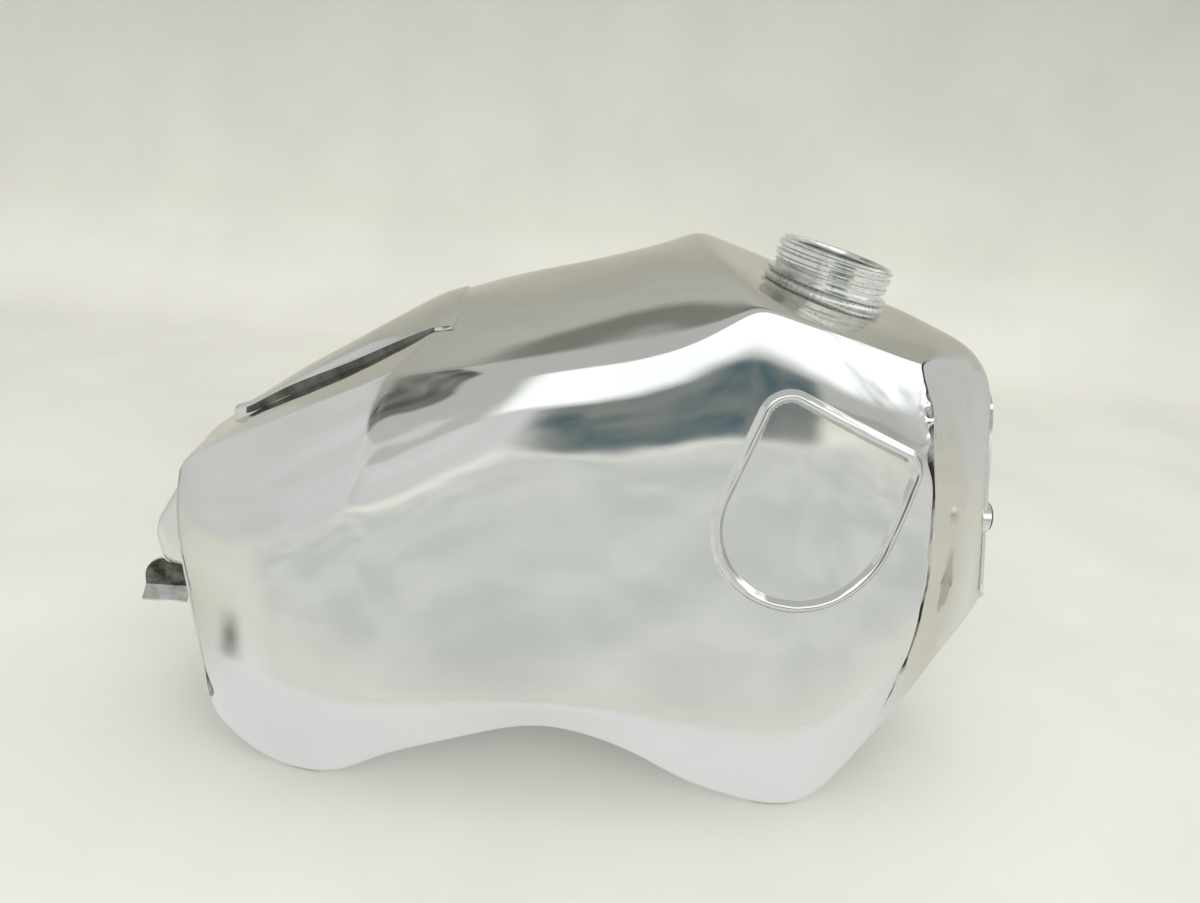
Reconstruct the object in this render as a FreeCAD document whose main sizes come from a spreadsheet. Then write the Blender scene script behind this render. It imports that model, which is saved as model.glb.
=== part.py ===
import FreeCAD, Part
import Sketcher
import math
import os
from FreeCAD import Placement, Rotation, Vector

# Hand-formed aluminium fuel tank of an off-road motorcycle. Millimetres, +X to the front, +Z up, and Y = 0 is
# the plane of symmetry. The origin is under the middle of the tank, on the plane that its lobes rest on.
# The skin is one control net: rings of points along the tank, each ring an upside-down U round the frame
# tunnel. The panels are uniform cubic B-spline patches of that net, 2 mm thick, and panels that share a line
# of the net meet face to face.

doc = FreeCAD.newDocument("fuel_tank")


def add_sheet(name, cells):
    """A spreadsheet whose column B holds the numbers, with their names as aliases."""
    sheet = doc.addObject("Spreadsheet::Sheet", name)
    for row, (alias, value) in enumerate(cells.items(), 1):
        sheet.set(f"A{row}", alias)
        sheet.set(f"B{row}", str(value))
        sheet.setAlias(f"B{row}", alias)
    return sheet


DIMS = {
    "sheet_wall": 2.0,
    "mid_offset": -9.5,
    # filler neck: its axis leans to the front
    "neck_along": 131.5,
    "neck_up": 279.8,
    "neck_tilt": 12.4,
    "neck_bore_radius": 27.5,
    "neck_tube_radius": 30.0,
    "neck_height": 22.7,
    "neck_below_deck": 7.0,
    "thread_radius": 31.75,
    "thread_pitch": 5.0,
    "thread_count": 3,
    "thread_crest": 2.0,
    "thread_first": 9.7,
    "collar_radius": 33.5,
    "collar_low": 4.2,
    "collar_height": 2.6,
    "neck_bead_low": 0.6,
    "neck_bead_foot": 4.0,
    "neck_bead_top": 0.8,
    "neck_bead_height": 3.4,
    # fuel tap boss, square to the floor of the left rear lobe
    "boss_along": -118.0,
    "boss_across": 60.0,
    "boss_up": 5.6,
    "boss_tilt": 20.0,
    "boss_radius": 10.5,
    "boss_thread_radius": 6.6,
    "boss_length": 12.0,
    "boss_proud": 1.0,
    # front mounting cups and their rubber bushes
    "cup_along": 245.0,
    "cup_across": 15.0,
    "cup_up": 160.0,
    "cup_radius": 10.0,
    "cup_bore_radius": 8.5,
    "cup_length": 16.0,
    "cup_floor": 2.0,
    "bush_bore_radius": 4.0,
    "bush_proud": 1.5,
    # rear strap hooks
    "hook_along": -220.0,
    "hook_across": 25.0,
    "hook_up": 92.0,
    "hook_radius": 12.0,
    "hook_plate": 2.5,
    "hook_drop": 6.0,
    "hook_lip": 10.0,
    "hook_lip_angle": 50.0,
    # rear pan, which closes the tail above the tunnel
    "pan_half_width": 31.0,
    "pan_tip_half_width": 28.0,
    "pan_reach": 22.0,
    "pan_low": 99.0,
    "pan_high": 154.0,
    "pan_tip_low": 106.0,
    "pan_tip_high": 128.0,
    "pan_corner": 7.0,
    # raised panel at the seat's tail
    "tail_panel_crease": 0.12,
    "tail_panel_depth": 40.0,
    # badge recess: its outline is a band stretched round three circles
    "badge_main_along": 113.0,
    "badge_main_up": 190.0,
    "badge_main_radius": 44.0,
    "badge_rear_along": 95.0,
    "badge_rear_up": 241.0,
    "badge_front_along": 152.0,
    "badge_front_up": 215.0,
    "badge_corner_radius": 12.0,
    "badge_bead_width": 6.5,
    "badge_bead_height": 2.2,
    "badge_recess": 0.9,
}
dims = add_sheet("dims", DIMS)

# The rows of the net, from the top of the tank round the near side to the roof of the tunnel.
ROWS = [
    "crown", "crown_inner", "crown_outer", "shoulder", "flank_top", "flank_middle", "flank_low", "band",
    "foot_outer", "foot_inner", "tunnel_wall", "roof_edge", "roof",
]  # fmt: skip

# The rings of the net, rear to front. Each point is x, half width and z.
STATIONS = {
    "tail": [
        (-211, 0, 163), (-211, 10, 163.5), (-211, 19, 164), (-211, 27, 163.5), (-208.5, 42, 149),
        (-203.5, 55, 122), (-198, 56, 95), (-194, 60, 72), (-187, 66, 34), (-188, 45, 40),
        (-192, 38, 62), (-196.5, 28, 86), (-197.5, 0, 90),
    ],
    "seat_rear": [
        (-176, 0, 188), (-176, 16, 188), (-175, 30, 187.5), (-174, 42, 186.5), (-168, 76, 160),
        (-166, 84, 130), (-164, 86, 100), (-163, 86, 74), (-172, 68, 13), (-170, 46, 20),
        (-168, 40, 56), (-168, 30, 92), (-168, 0, 96),
    ],
    "seat_middle": [
        (-140, 0, 211), (-140, 22, 210.5), (-139, 40, 209), (-138, 54, 207.5), (-140, 88, 187),
        (-142, 98, 148), (-140, 99, 106), (-138, 97, 70), (-146, 69, -3.5), (-144, 45, 8),
        (-142, 40, 54), (-140, 31, 98), (-140, 0, 102),
    ],
    "seat_front": [
        (-110, 0, 229), (-110, 26, 228), (-110, 46, 226.5), (-111, 63, 223.5), (-114, 92, 206),
        (-120, 105, 164), (-116, 106, 112), (-108, 104, 68), (-118, 76, 0.5), (-116, 44, 12),
        (-112, 40, 60), (-108, 31, 104), (-108, 0, 108),
    ],
    "step": [
        (-65, 0, 262.5), (-72, 43, 254), (-81, 59, 245), (-90, 72, 236.5), (-95, 98, 218),
        (-102, 108, 178), (-92, 110, 118), (-84, 108, 72), (-86, 80, 20), (-84, 44, 30),
        (-80, 40, 74), (-76, 31, 109), (-76, 0, 113),
    ],
    "waist": [
        (-35, 0, 267), (-38, 45, 265), (-43, 76, 259), (-46, 98, 251), (-50, 109, 230),
        (-54, 111, 186), (-48, 111, 126), (-44, 108, 76), (-48, 86, 38), (-48, 44, 46),
        (-46, 40, 86), (-44, 31, 113), (-44, 0, 117),
    ],
    "middle": [
        (5, 0, 280), (4, 45, 278), (3, 79, 271), (1, 104, 260), (-1, 112, 234),
        (-3, 113, 188), (-3, 113, 130), (-3, 109, 80), (-4, 92, 58), (-4, 44, 66),
        (-2, 40, 98), (0, 31, 118), (0, 0, 122),
    ],
    "rise": [
        (42, 0, 293), (42, 46, 291), (42, 80, 284), (41, 106, 269), (40, 113, 240),
        (40, 114, 194), (40, 113, 134), (40, 109, 77), (40, 89, 40), (40, 44, 48),
        (41, 39, 92), (42, 31, 122), (42, 0, 126),
    ],
    "apex": [
        (68, 0, 299), (69, 48, 298), (72, 82, 295.5), (76, 106, 291.5), (77, 112, 264),
        (77, 114, 210), (77, 113, 140), (76, 109, 73), (80, 85, 15), (80, 44, 22),
        (78, 39, 80), (76, 30, 126), (76, 0, 130),
    ],
    "neck": [
        (108, 0, 284.5), (108, 48, 286), (110, 80, 284.5), (115, 102, 281), (114, 111, 256),
        (114, 113, 205), (114, 113, 138), (114, 108, 68), (122, 81, -1), (120, 42, 6),
        (116, 38, 76), (112, 30, 129), (112, 0, 133),
    ],
    "deck": [
        (150, 0, 275.5), (148, 44, 276.5), (145, 72, 275.5), (140, 94, 272.5), (146, 105, 248),
        (150, 108, 200), (150, 108, 136), (148, 105, 74), (152, 80, -2.3), (150, 40, 6),
        (146, 37, 78), (142, 29, 132), (142, 0, 136),
    ],
    "front_edge": [
        (190, 0, 269), (184, 40, 268.5), (174, 66, 267.5), (161, 86, 265.5), (168, 96, 240),
        (177, 99, 200), (185, 98, 150), (183, 96, 112), (178, 80, 46), (178, 38, 54),
        (176, 36, 100), (174, 28, 134), (174, 0, 138),
    ],
    "facet": [
        (207, 0, 263), (203, 24, 262), (197, 44, 258), (188, 57, 253), (186, 67, 237),
        (197, 69, 198), (205, 69, 150), (203, 71, 110), (200, 66, 66), (203, 34, 74),
        (202, 33, 110), (201, 27, 136), (201, 0, 140),
    ],
    "column": [
        (220, 0, 257), (218, 12, 255.5), (214, 24, 251), (208, 34, 243), (208, 38, 226),
        (217, 38, 196), (225, 38, 150), (224, 42, 110), (220, 48, 82), (224, 29, 92),
        (225, 27, 122), (224, 23, 138), (224, 0, 142),
    ],
    "nose": [
        (229.5, 0, 246), (229.5, 10, 245), (228.5, 18, 242), (227.5, 24, 235), (229.5, 27, 218),
        (234.5, 28, 190), (240.5, 29, 150), (243.5, 31, 120), (240, 35, 102), (242, 23, 105),
        (243.5, 20.5, 122), (240, 17, 138), (240, 0, 142),
    ],
}  # fmt: skip

# The flat ends: half width and z of each point of the last ring, and the leaning plane x = foot + lean * z.
END_RINGS = {
    "tail_end": [
        (0, 158.5), (9, 158.5), (16, 158.5), (22, 157), (37, 145), (49, 120.5), (51, 95), (55, 73), (61, 40),
        (49, 44), (42, 62), (33, 90), (0, 94.5),
    ],
    "nose_end": [
        (0, 236), (8, 235.5), (14, 233), (18, 228), (20, 214), (21, 190), (23, 150), (25, 124), (27, 113),
        (18, 112), (17, 125), (13, 141), (0, 145),
    ],
}  # fmt: skip
END_PLANES = {"tail_end": (-179.5, -0.19), "nose_end": (266.3, -0.155)}

# How soft each crease is: the two points beside it lie this share of the way to the next row or ring.
ROW_CREASES = {
    "shoulder": {
        "other": 0.12, "seat_front": 0.14, "step": 0.2, "waist": 0.5, "middle": 0.5, "rise": 0.42,
        "apex": 0.16, "front_edge": 0.14, "facet": 0.3, "column": 0.4, "nose": 0.4, "nose_end": 0.4,
    },
    "band": {
        "other": 0.22, "step": 0.28, "waist": 0.3, "middle": 0.3, "rise": 0.3, "facet": 0.25,
        "column": 0.35, "nose": 0.4, "nose_end": 0.4,
    },
    "foot_outer": {"other": 0.14, "column": 0.25, "nose": 0.35, "nose_end": 0.35},
    "foot_inner": {"other": 0.22, "column": 0.3, "nose": 0.35, "nose_end": 0.35},
    "roof_edge": {"other": 0.22, "nose": 0.3, "nose_end": 0.3},
}  # fmt: skip
RING_CREASES = {
    "step": {"other": 0.5, "crown": 0.14, "crown_inner": 0.14, "crown_outer": 0.14, "shoulder": 0.18,
             "flank_top": 0.3},
    "apex": {"other": 0.5, "crown": 0.3, "crown_inner": 0.3, "crown_outer": 0.3, "shoulder": 0.3,
             "flank_top": 0.4},
    "front_edge": {"other": 0.5, "crown_inner": 0.45, "crown_outer": 0.3, "shoulder": 0.14,
                   "flank_top": 0.08, "flank_middle": 0.08, "flank_low": 0.08, "band": 0.12,
                   "foot_outer": 0.3},
}  # fmt: skip

# Rings of the raised panel at the seat's tail: x, half width at the foot and at the edge, and z of the foot,
# the edge and the crown line.
TAIL_PANEL = [
    (-186, 4.5, 4, 187, 188, 188.5),
    (-180, 7.8, 7, 185, 189, 190),
    (-165, 13, 12, 194.5, 200, 201),
    (-151, 18, 17, 204, 209.5, 211.5),
    (-131, 25.2, 24, 213.5, 220.5, 224),
    (-112, 30.2, 29, 224.5, 231, 237),
    (-90, 38.4, 37, 236.5, 245, 250.5),
    (-75, 45, 44, 250, 253.5, 259),
    (-64, 49, 48, 256, 256.5, 262),
]

net_cells = {}
for station, points in STATIONS.items():
    for row, (x, half, z) in zip(ROWS, points):
        net_cells[f"{station}_{row}_along"] = x
        net_cells[f"{station}_{row}_across"] = half
        net_cells[f"{station}_{row}_up"] = z
net_sheet = add_sheet("net", net_cells)
doc.recompute()


# ---- the control net ----
def ring_points(station):
    """The points of one ring on the right side of the tank, read from the net sheet."""
    points = []
    for row in ROWS:
        name = f"{station}_{row}"
        x = net_sheet.get(name + "_along") + dims.mid_offset
        points.append(Vector(x, -net_sheet.get(name + "_across"), net_sheet.get(name + "_up")))
    return points


def end_ring_points(name):
    foot, lean = END_PLANES[name]
    return [Vector(foot + lean * z + dims.mid_offset, -half, z) for half, z in END_RINGS[name]]


def between(start, end, share):
    return start + (end - start) * share


def crease_rows(points, station):
    """Adds the two points beside each creased row."""
    creased = []
    for i, row in enumerate(ROWS):
        if row in ROW_CREASES:
            share = ROW_CREASES[row].get(station, ROW_CREASES[row]["other"])
            creased.append(between(points[i], points[i - 1], share))
            creased.append(points[i])
            creased.append(between(points[i], points[i + 1], share))
        else:
            creased.append(points[i])
    return creased


def number_columns():
    """The row that each column of a ring belongs to, and the column that holds each row's own points."""
    names = []
    places = {}
    for row in ROWS:
        creased = row in ROW_CREASES
        places[row] = len(names) + (1 if creased else 0)
        names += [row] * (3 if creased else 1)
    return names, places


COLUMN_ROWS, COLUMN = number_columns()


def make_net():
    """All rings, with the creased ones tripled and each mirrored to the left side, and each ring's index."""
    order = ["tail_end", *STATIONS, "nose_end"]
    plain = []
    for station in order:
        points = end_ring_points(station) if station in END_RINGS else ring_points(station)
        plain.append(crease_rows(points, station))
    rings = []
    index = {}
    for i, station in enumerate(order):
        here = plain[i]
        if station in RING_CREASES:
            shares = [RING_CREASES[station].get(row, RING_CREASES[station]["other"]) for row in COLUMN_ROWS]
            rings.append([between(p, q, share) for p, q, share in zip(here, plain[i - 1], shares)])
            index[station] = len(rings)
            rings.append(here)
            rings.append([between(p, q, share) for p, q, share in zip(here, plain[i + 1], shares)])
        else:
            index[station] = len(rings)
            rings.append(here)
    return [ring + [Vector(p.x, -p.y, p.z) for p in reversed(ring[1:-1])] for ring in rings], index


NET, RING = make_net()
LAST_RING = len(NET) - 1
COLUMNS = len(NET[0])


def end_normal(name):
    """The unit normal of an end plane, pointing out of the tank."""
    toward = -1 if name == "tail_end" else 1
    normal = Vector(toward, 0, -toward * END_PLANES[name][1])
    normal.normalize()
    return normal


def inward_normals(net):
    """At each point of the net, the unit normal into the sheet, kept in plane at the flat ends."""
    normals = []
    for i, ring in enumerate(net):
        if i == 0:
            forward = [-end_normal("tail_end")] * COLUMNS
        elif i == LAST_RING:
            forward = [end_normal("nose_end")] * COLUMNS
        else:
            forward = [after - before for before, after in zip(net[i - 1], net[i + 1])]
        line = []
        for k in range(COLUMNS):
            normal = forward[k].cross(ring[(k + 1) % COLUMNS] - ring[k - 1])
            normal.normalize()
            line.append(normal)
        normals.append(line)
    return normals


NORMALS = inward_normals(NET)


def offset_net(depth):
    """The net moved into the sheet by depth, or out of it where depth is negative."""
    return [[p + n * depth for p, n in zip(ring, line)] for ring, line in zip(NET, NORMALS)]


# ---- surfaces and sheets ----
def clamped(points):
    """Clamped poles of the uniform cubic B-spline from points[1] to points[-2] of a control line."""
    a, b, c = points[:3]
    x, y, z = points[-3:]
    first = [(a + b * 4 + c) * (1 / 6), (b * 2 + c) * (1 / 3)]
    final = [(x + y * 2) * (1 / 3), (x + y * 4 + z) * (1 / 6)]
    return first + list(points[2:-2]) + final


def spline_surface(grid):
    """The B-spline surface of a grid that has one spare line of points along each side."""
    lines = [clamped(line) for line in grid]
    poles = [list(line) for line in zip(*[clamped(list(line)) for line in zip(*lines)])]
    spans = [len(poles) - 3, len(poles[0]) - 3]
    knots = [[float(k) for k in range(span + 1)] for span in spans]
    mults = [[4] + [1] * (span - 1) + [4] for span in spans]
    surface = Part.BSplineSurface()
    surface.buildFromPolesMultsKnots(poles, *mults, *knots, False, False, 3, 3)
    return surface


def beyond(line, second):
    """The spare points past the end of a net, straight on from its last two lines."""
    return [p * 2 - q for p, q in zip(line, second)]


def patch_surface(net, rings, columns):
    """The surface over a span of rings and a span of columns, which may pass the end of a ring."""
    cut = [[ring[k % COLUMNS] for k in range(columns[0] - 1, columns[1] + 2)] for ring in net]
    grid = [beyond(cut[0], cut[1])] + cut + [beyond(cut[-1], cut[-2])]
    return spline_surface(grid[rings[0] : rings[1] + 3])


def edge_curves(surface):
    u_low, u_high, v_low, v_high = surface.bounds()
    return [surface.uIso(u_low), surface.uIso(u_high), surface.vIso(v_low), surface.vIso(v_high)]


def solid_from(faces):
    shell = Part.makeShell(faces)
    shell.sewShape()
    solid = Part.makeSolid(Part.Shell(shell.Faces))
    if solid.Volume < 0:
        solid.reverse()
    return solid


def sheet_between(outer_net, inner_net, rings, columns):
    """The closed solid between the same patch of two nets."""
    outer = patch_surface(outer_net, rings, columns)
    inner = patch_surface(inner_net, rings, columns)
    faces = [outer.toShape(), inner.toShape()]
    for near, far in zip(edge_curves(outer), edge_curves(inner)):
        faces.append(Part.makeRuledSurface(near.toShape(), far.toShape()))
    return solid_from(faces)


def block_under(rings, columns, depth):
    """The solid that reaches down from a patch of the outer surface."""
    return patch_surface(NET, rings, columns).toShape().extrude(Vector(0, 0, -depth))


def closed_loop(points):
    """The closed curve of an end ring."""
    knots = [float(k) for k in range(len(points) + 1)]
    curve = Part.BSplineCurve()
    curve.buildFromPolesMultsKnots(points, [1] * len(knots), knots, True, 3)
    return Part.Wire([curve.toShape()])


# ---- document objects ----
def add_shape(name, shape):
    """An object whose shape is set here, from the sizes in the sheets."""
    piece = doc.addObject("Part::Feature", name)
    piece.Label = name
    piece.Shape = shape
    return piece


def add_mirror(name, source):
    """The left-hand twin of a right-hand piece."""
    twin = doc.addObject("Part::Mirroring", name)
    twin.Label = name
    twin.Source = source
    twin.Base = Vector(0, 0, 0)
    twin.Normal = Vector(0, 1, 0)
    return twin


def add_fuse(name, *shapes):
    fuse = doc.addObject("Part::MultiFuse", name)
    fuse.Label = name
    fuse.Shapes = list(shapes)
    return fuse


def add_cut(name, base, *tools):
    cut = doc.addObject("Part::Cut", name)
    cut.Label = name
    cut.Base = base
    cut.Tool = tools[0] if len(tools) == 1 else add_fuse(name + "_tools", *tools)
    return cut


def bind(thing, **expressions):
    """Binds properties to the sheet. A double underscore stands for the dot of a sub-property."""
    for prop, expression in expressions.items():
        thing.setExpression(prop.replace("__", "."), expression)
    return thing


def place(thing, rotation, along, across, up):
    """Turns a primitive and binds its position."""
    thing.Placement = Placement(Vector(0, 0, 0), rotation)
    return bind(thing, Placement__Base__x=along, Placement__Base__y=across, Placement__Base__z=up)


def add_cylinder(name, radius, height):
    return bind(doc.addObject("Part::Cylinder", name), Radius=radius, Height=height)


def add_box(name, length, width, height):
    return bind(doc.addObject("Part::Box", name), Length=length, Width=width, Height=height)


def add_block(name, low, high):
    """A tapering block, from a rectangle at local Y = 0 to one at local Y = high. Sizes are expressions."""
    block = doc.addObject("Part::Wedge", name)
    low_half, low_bottom, low_top = low
    high_half, high_bottom, high_top, reach = high
    return bind(
        block,
        Xmin=f"-({low_half})", Xmax=low_half, Zmin=low_bottom, Zmax=low_top,
        X2min=f"-({high_half})", X2max=high_half, Z2min=high_bottom, Z2max=high_top,
        Ymax=reach,
    )  # fmt: skip


# ---- skin panels ----
SIDE_COLUMNS = (COLUMN["crown"], COLUMN["foot_outer"])
FLOOR_COLUMNS = (COLUMN["foot_outer"], COLUMN["foot_inner"])
WALL_COLUMNS = (COLUMN["foot_inner"], COLUMN["roof_edge"])
ROOF_COLUMNS = (COLUMN["roof_edge"], COLUMNS - COLUMN["roof_edge"])
CROWN_COLUMNS = (-COLUMN["shoulder"], COLUMN["shoulder"])
REAR_SPAN = (0, RING["front_edge"])
NOSE_SPAN = (RING["front_edge"], LAST_RING)
WHOLE_SPAN = (0, LAST_RING)
INNER_NET = offset_net(dims.sheet_wall)
NECK_TURN = Rotation(Vector(0, 1, 0), dims.neck_tilt)
FORWARD = Rotation(Vector(0, 1, 0), 90)
BOSS_TURN = Rotation(Vector(1, 0, 0), 180 - dims.boss_tilt)


def neck_cylinder(name, radius, reach):
    """A cylinder on the neck's axis, from inside the tank to a reach above the deck."""
    cylinder = add_cylinder(name, radius, f"2 * dims.neck_below_deck + {reach}")
    slide = "2 * dims.neck_below_deck"
    return place(
        cylinder, NECK_TURN,
        f"dims.neck_along + dims.mid_offset - {slide} * sin(dims.neck_tilt * 1 deg)",
        "0", f"dims.neck_up - {slide} * cos(dims.neck_tilt * 1 deg)",
    )  # fmt: skip


def cup_cylinder(name, radius, back, reach):
    """A cylinder on the right mounting cup's axis, from a depth behind its mouth to a reach ahead."""
    cylinder = add_cylinder(name, radius, f"{back} + {reach}")
    return place(
        cylinder, FORWARD, f"dims.cup_along + dims.mid_offset - ({back})", "-dims.cup_across", "dims.cup_up"
    )


def boss_cylinder(name, radius, length):
    """A cylinder on the fuel tap boss's axis, from inside the tank to a reach past its mouth."""
    cylinder = add_cylinder(name, radius, length)
    return place(
        cylinder, BOSS_TURN,
        "dims.boss_along + dims.mid_offset",
        "dims.boss_across + dims.boss_length * sin(dims.boss_tilt * 1 deg)",
        "dims.boss_up + dims.boss_length * cos(dims.boss_tilt * 1 deg)",
    )  # fmt: skip


def badge_circles():
    corner = dims.badge_corner_radius
    return [
        (dims.badge_main_along, dims.badge_main_up, dims.badge_main_radius),
        (dims.badge_front_along, dims.badge_front_up, corner),
        (dims.badge_rear_along, dims.badge_rear_up, corner),
    ]


def badge_wire(grow):
    """The badge outline grown by an amount, in the plane Y = 0: tangent lines and arcs round the circles."""
    circles = [(Vector(x + dims.mid_offset, 0, z), r + grow) for x, z, r in badge_circles()]
    touches = []
    for i, (centre, radius) in enumerate(circles):
        following, next_radius = circles[(i + 1) % len(circles)]
        step = following - centre
        swing = math.degrees(math.acos((radius - next_radius) / step.Length))
        normal = Rotation(Vector(0, 1, 0), swing).multVec(step)
        normal.normalize()
        touches.append((centre + normal * radius, following + normal * next_radius, normal))
    heart = sum((centre for centre, _ in circles), Vector()) / len(circles)
    edges = []
    for i, (centre, radius) in enumerate(circles):
        middle = touches[i - 1][2] + touches[i][2]
        middle.normalize()
        if middle.dot(centre - heart) < 0:
            middle = -middle
        edges.append(Part.Arc(touches[i - 1][1], centre + middle * radius, touches[i][0]).toShape())
        edges.append(Part.makeLine(touches[i][0], touches[i][1]))
    return Part.Wire(edges)


def badge_prism(grow):
    """A bar through the right side whose section is the badge outline."""
    return Part.Face(badge_wire(grow)).extrude(Vector(0, -200, 0))


def badge_layer(high, deep):
    """The layer of the flank between two heights over the outer surface, round the badge."""
    rings = (RING["rise"], RING["front_edge"])
    columns = (COLUMN["shoulder"], COLUMN["band"])
    return sheet_between(offset_net(-high), offset_net(deep), rings, columns)


bead_half = dims.badge_bead_width / 2
recess = add_shape("badge_recess_blank", badge_layer(0.5, dims.badge_recess).common(badge_prism(-bead_half)))
side_blank = add_shape("side_blank", sheet_between(NET, INNER_NET, REAR_SPAN, SIDE_COLUMNS))
neck_hole = neck_cylinder("neck_hole", "dims.neck_tube_radius", "2 * dims.neck_below_deck")
right_side = add_cut("right_side_shell", side_blank, recess, neck_hole)
left_side = add_mirror("left_side_shell", right_side)

bead_ring = badge_prism(bead_half).cut(badge_prism(-bead_half))
right_bead = add_shape("right_badge_bead", badge_layer(dims.badge_bead_height, 0).common(bead_ring))
left_bead = add_mirror("left_badge_bead", right_bead)

nose_blank = add_shape("nose_blank", sheet_between(NET, INNER_NET, NOSE_SPAN, SIDE_COLUMNS))
cup_hole = cup_cylinder("cup_hole", "dims.cup_radius", "dims.cup_length", "dims.cup_length")
right_nose = add_cut("right_nose_panel", nose_blank, cup_hole)
left_nose = add_mirror("left_nose_panel", right_nose)

right_floor = add_shape("right_lobe_floor", sheet_between(NET, INNER_NET, WHOLE_SPAN, FLOOR_COLUMNS))
left_floor_blank = add_mirror("left_floor_blank", right_floor)
boss_hole = boss_cylinder("boss_hole", "dims.boss_radius", "2 * dims.boss_length")
left_floor = add_cut("left_lobe_floor", left_floor_blank, boss_hole)
right_wall = add_shape("right_tunnel_wall", sheet_between(NET, INNER_NET, WHOLE_SPAN, WALL_COLUMNS))
left_wall = add_mirror("left_tunnel_wall", right_wall)
tunnel_roof = add_shape("tunnel_roof", sheet_between(NET, INNER_NET, WHOLE_SPAN, ROOF_COLUMNS))


# ---- end panels ----
def end_plate(name, ring):
    """The flat plate that closes one end of the tank and covers the edges of the skin panels."""
    return Part.Face(closed_loop(NET[ring])).extrude(end_normal(name) * dims.sheet_wall)


def in_end_plane(thing, name):
    """Stands a block on an end plate: local Y points out of the tank and local Z up along the plate."""
    foot, lean = END_PLANES[name]
    out = end_normal(name)
    stand = Vector(foot + dims.mid_offset, 0, 0) + out * dims.sheet_wall
    thing.Placement = Placement(stand, Rotation(Vector(0, 1, 0), out, Vector(lean, 0, 1), "YXZ"))
    return thing


def round_block(block, corner):
    """Rounds the block's edges, apart from those of the rectangle that it stands on."""
    doc.recompute()
    rounded = doc.addObject("Part::Fillet", block.Name + "_rounded")
    rounded.Base = block
    flat = block.Placement.inverse()
    edges = []
    for number, edge in enumerate(block.Shape.Edges, 1):
        heights = [flat.multVec(vertex.Point).y for vertex in edge.Vertexes]
        if max(heights) > 1:
            edges.append((number, corner, corner))
    rounded.Edges = edges
    return rounded


def pan_block(name, inset):
    """The outside of the rear pan, or with an inset its inside."""
    base = (f"dims.pan_half_width - {inset}", f"dims.pan_low + {inset}", f"dims.pan_high - {inset}")
    tip = (
        f"dims.pan_tip_half_width - {inset}",
        f"dims.pan_tip_low + {inset}",
        f"dims.pan_tip_high - {inset}",
        f"dims.pan_reach - {inset}",
    )
    return in_end_plane(add_block(name, base, tip), "tail_end")


pan_outside = round_block(pan_block("pan_outside", "0"), dims.pan_corner)
pan_inside = round_block(pan_block("pan_inside", "dims.sheet_wall"), dims.pan_corner - dims.sheet_wall)
rear_pan = add_cut("rear_tail_pan", pan_outside, pan_inside)

pan_opening = add_box(
    "pan_opening",
    "2 * (dims.pan_half_width - 2 * dims.sheet_wall)",
    "3 * dims.sheet_wall",
    "dims.pan_high - dims.pan_low - 4 * dims.sheet_wall",
)
in_end_plane(pan_opening, "tail_end")
opening_corner = Vector(
    -(dims.pan_half_width - 2 * dims.sheet_wall), -2 * dims.sheet_wall, dims.pan_low + 2 * dims.sheet_wall
)
pan_opening.Placement = pan_opening.Placement * Placement(opening_corner, Rotation())
rear_plate = add_shape("rear_end_blank", end_plate("tail_end", 0))
rear_end = add_cut("rear_end_panel", rear_plate, pan_opening)

front_plate = add_shape("front_end_blank", end_plate("nose_end", LAST_RING))
front_end = add_cut("front_end_panel", front_plate, cup_hole, add_mirror("left_cup_hole", cup_hole))


# ---- seat tail panel ----
def tail_panel_ring(x, foot, edge, foot_z, edge_z, crown_z):
    """Half of one ring of the raised panel, from the crown line over the creased edge to the foot."""
    crown = Vector(x, 0, crown_z)
    brow = Vector(x, -0.6 * edge, crown_z + 0.25 * (edge_z - crown_z))
    rim = Vector(x, -edge, edge_z)
    base = Vector(x, -foot, foot_z)
    soft = dims.tail_panel_crease
    return [crown, brow, between(rim, brow, soft), rim, between(rim, base, soft), base]


def tail_panel_face(inset):
    """The top and the sides of the raised panel, moved inward by an inset."""
    grid = []
    for x, foot, edge, foot_z, edge_z, crown_z in TAIL_PANEL:
        narrow = (edge - inset) / edge
        half = [
            Vector(p.x + dims.mid_offset + inset, p.y * narrow, p.z - inset / 2)
            for p in tail_panel_ring(x, foot, edge, foot_z, edge_z, crown_z)
        ]
        line = [Vector(p.x, -p.y, p.z) for p in reversed(half[1:])] + half
        grid.append([line[0] * 2 - line[1]] + line + [line[-1] * 2 - line[-2]])
    grid = [beyond(grid[0], grid[1])] + grid + [beyond(grid[-1], grid[-2])]
    return spline_surface(grid).toShape()


def tail_panel_block(inset):
    return tail_panel_face(inset).extrude(Vector(0, 0, -dims.tail_panel_depth))


seat_block = block_under((0, RING["middle"]), CROWN_COLUMNS, 2 * dims.tail_panel_depth)
tail_sheet = tail_panel_block(0).cut(tail_panel_block(dims.sheet_wall))
tail_panel = add_shape("seat_tail_panel", tail_sheet.cut(seat_block))


# ---- filler neck ----
def body_plane(body, role):
    return next(item for item in body.Origin.OriginFeatures if item.Role == role)


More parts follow.
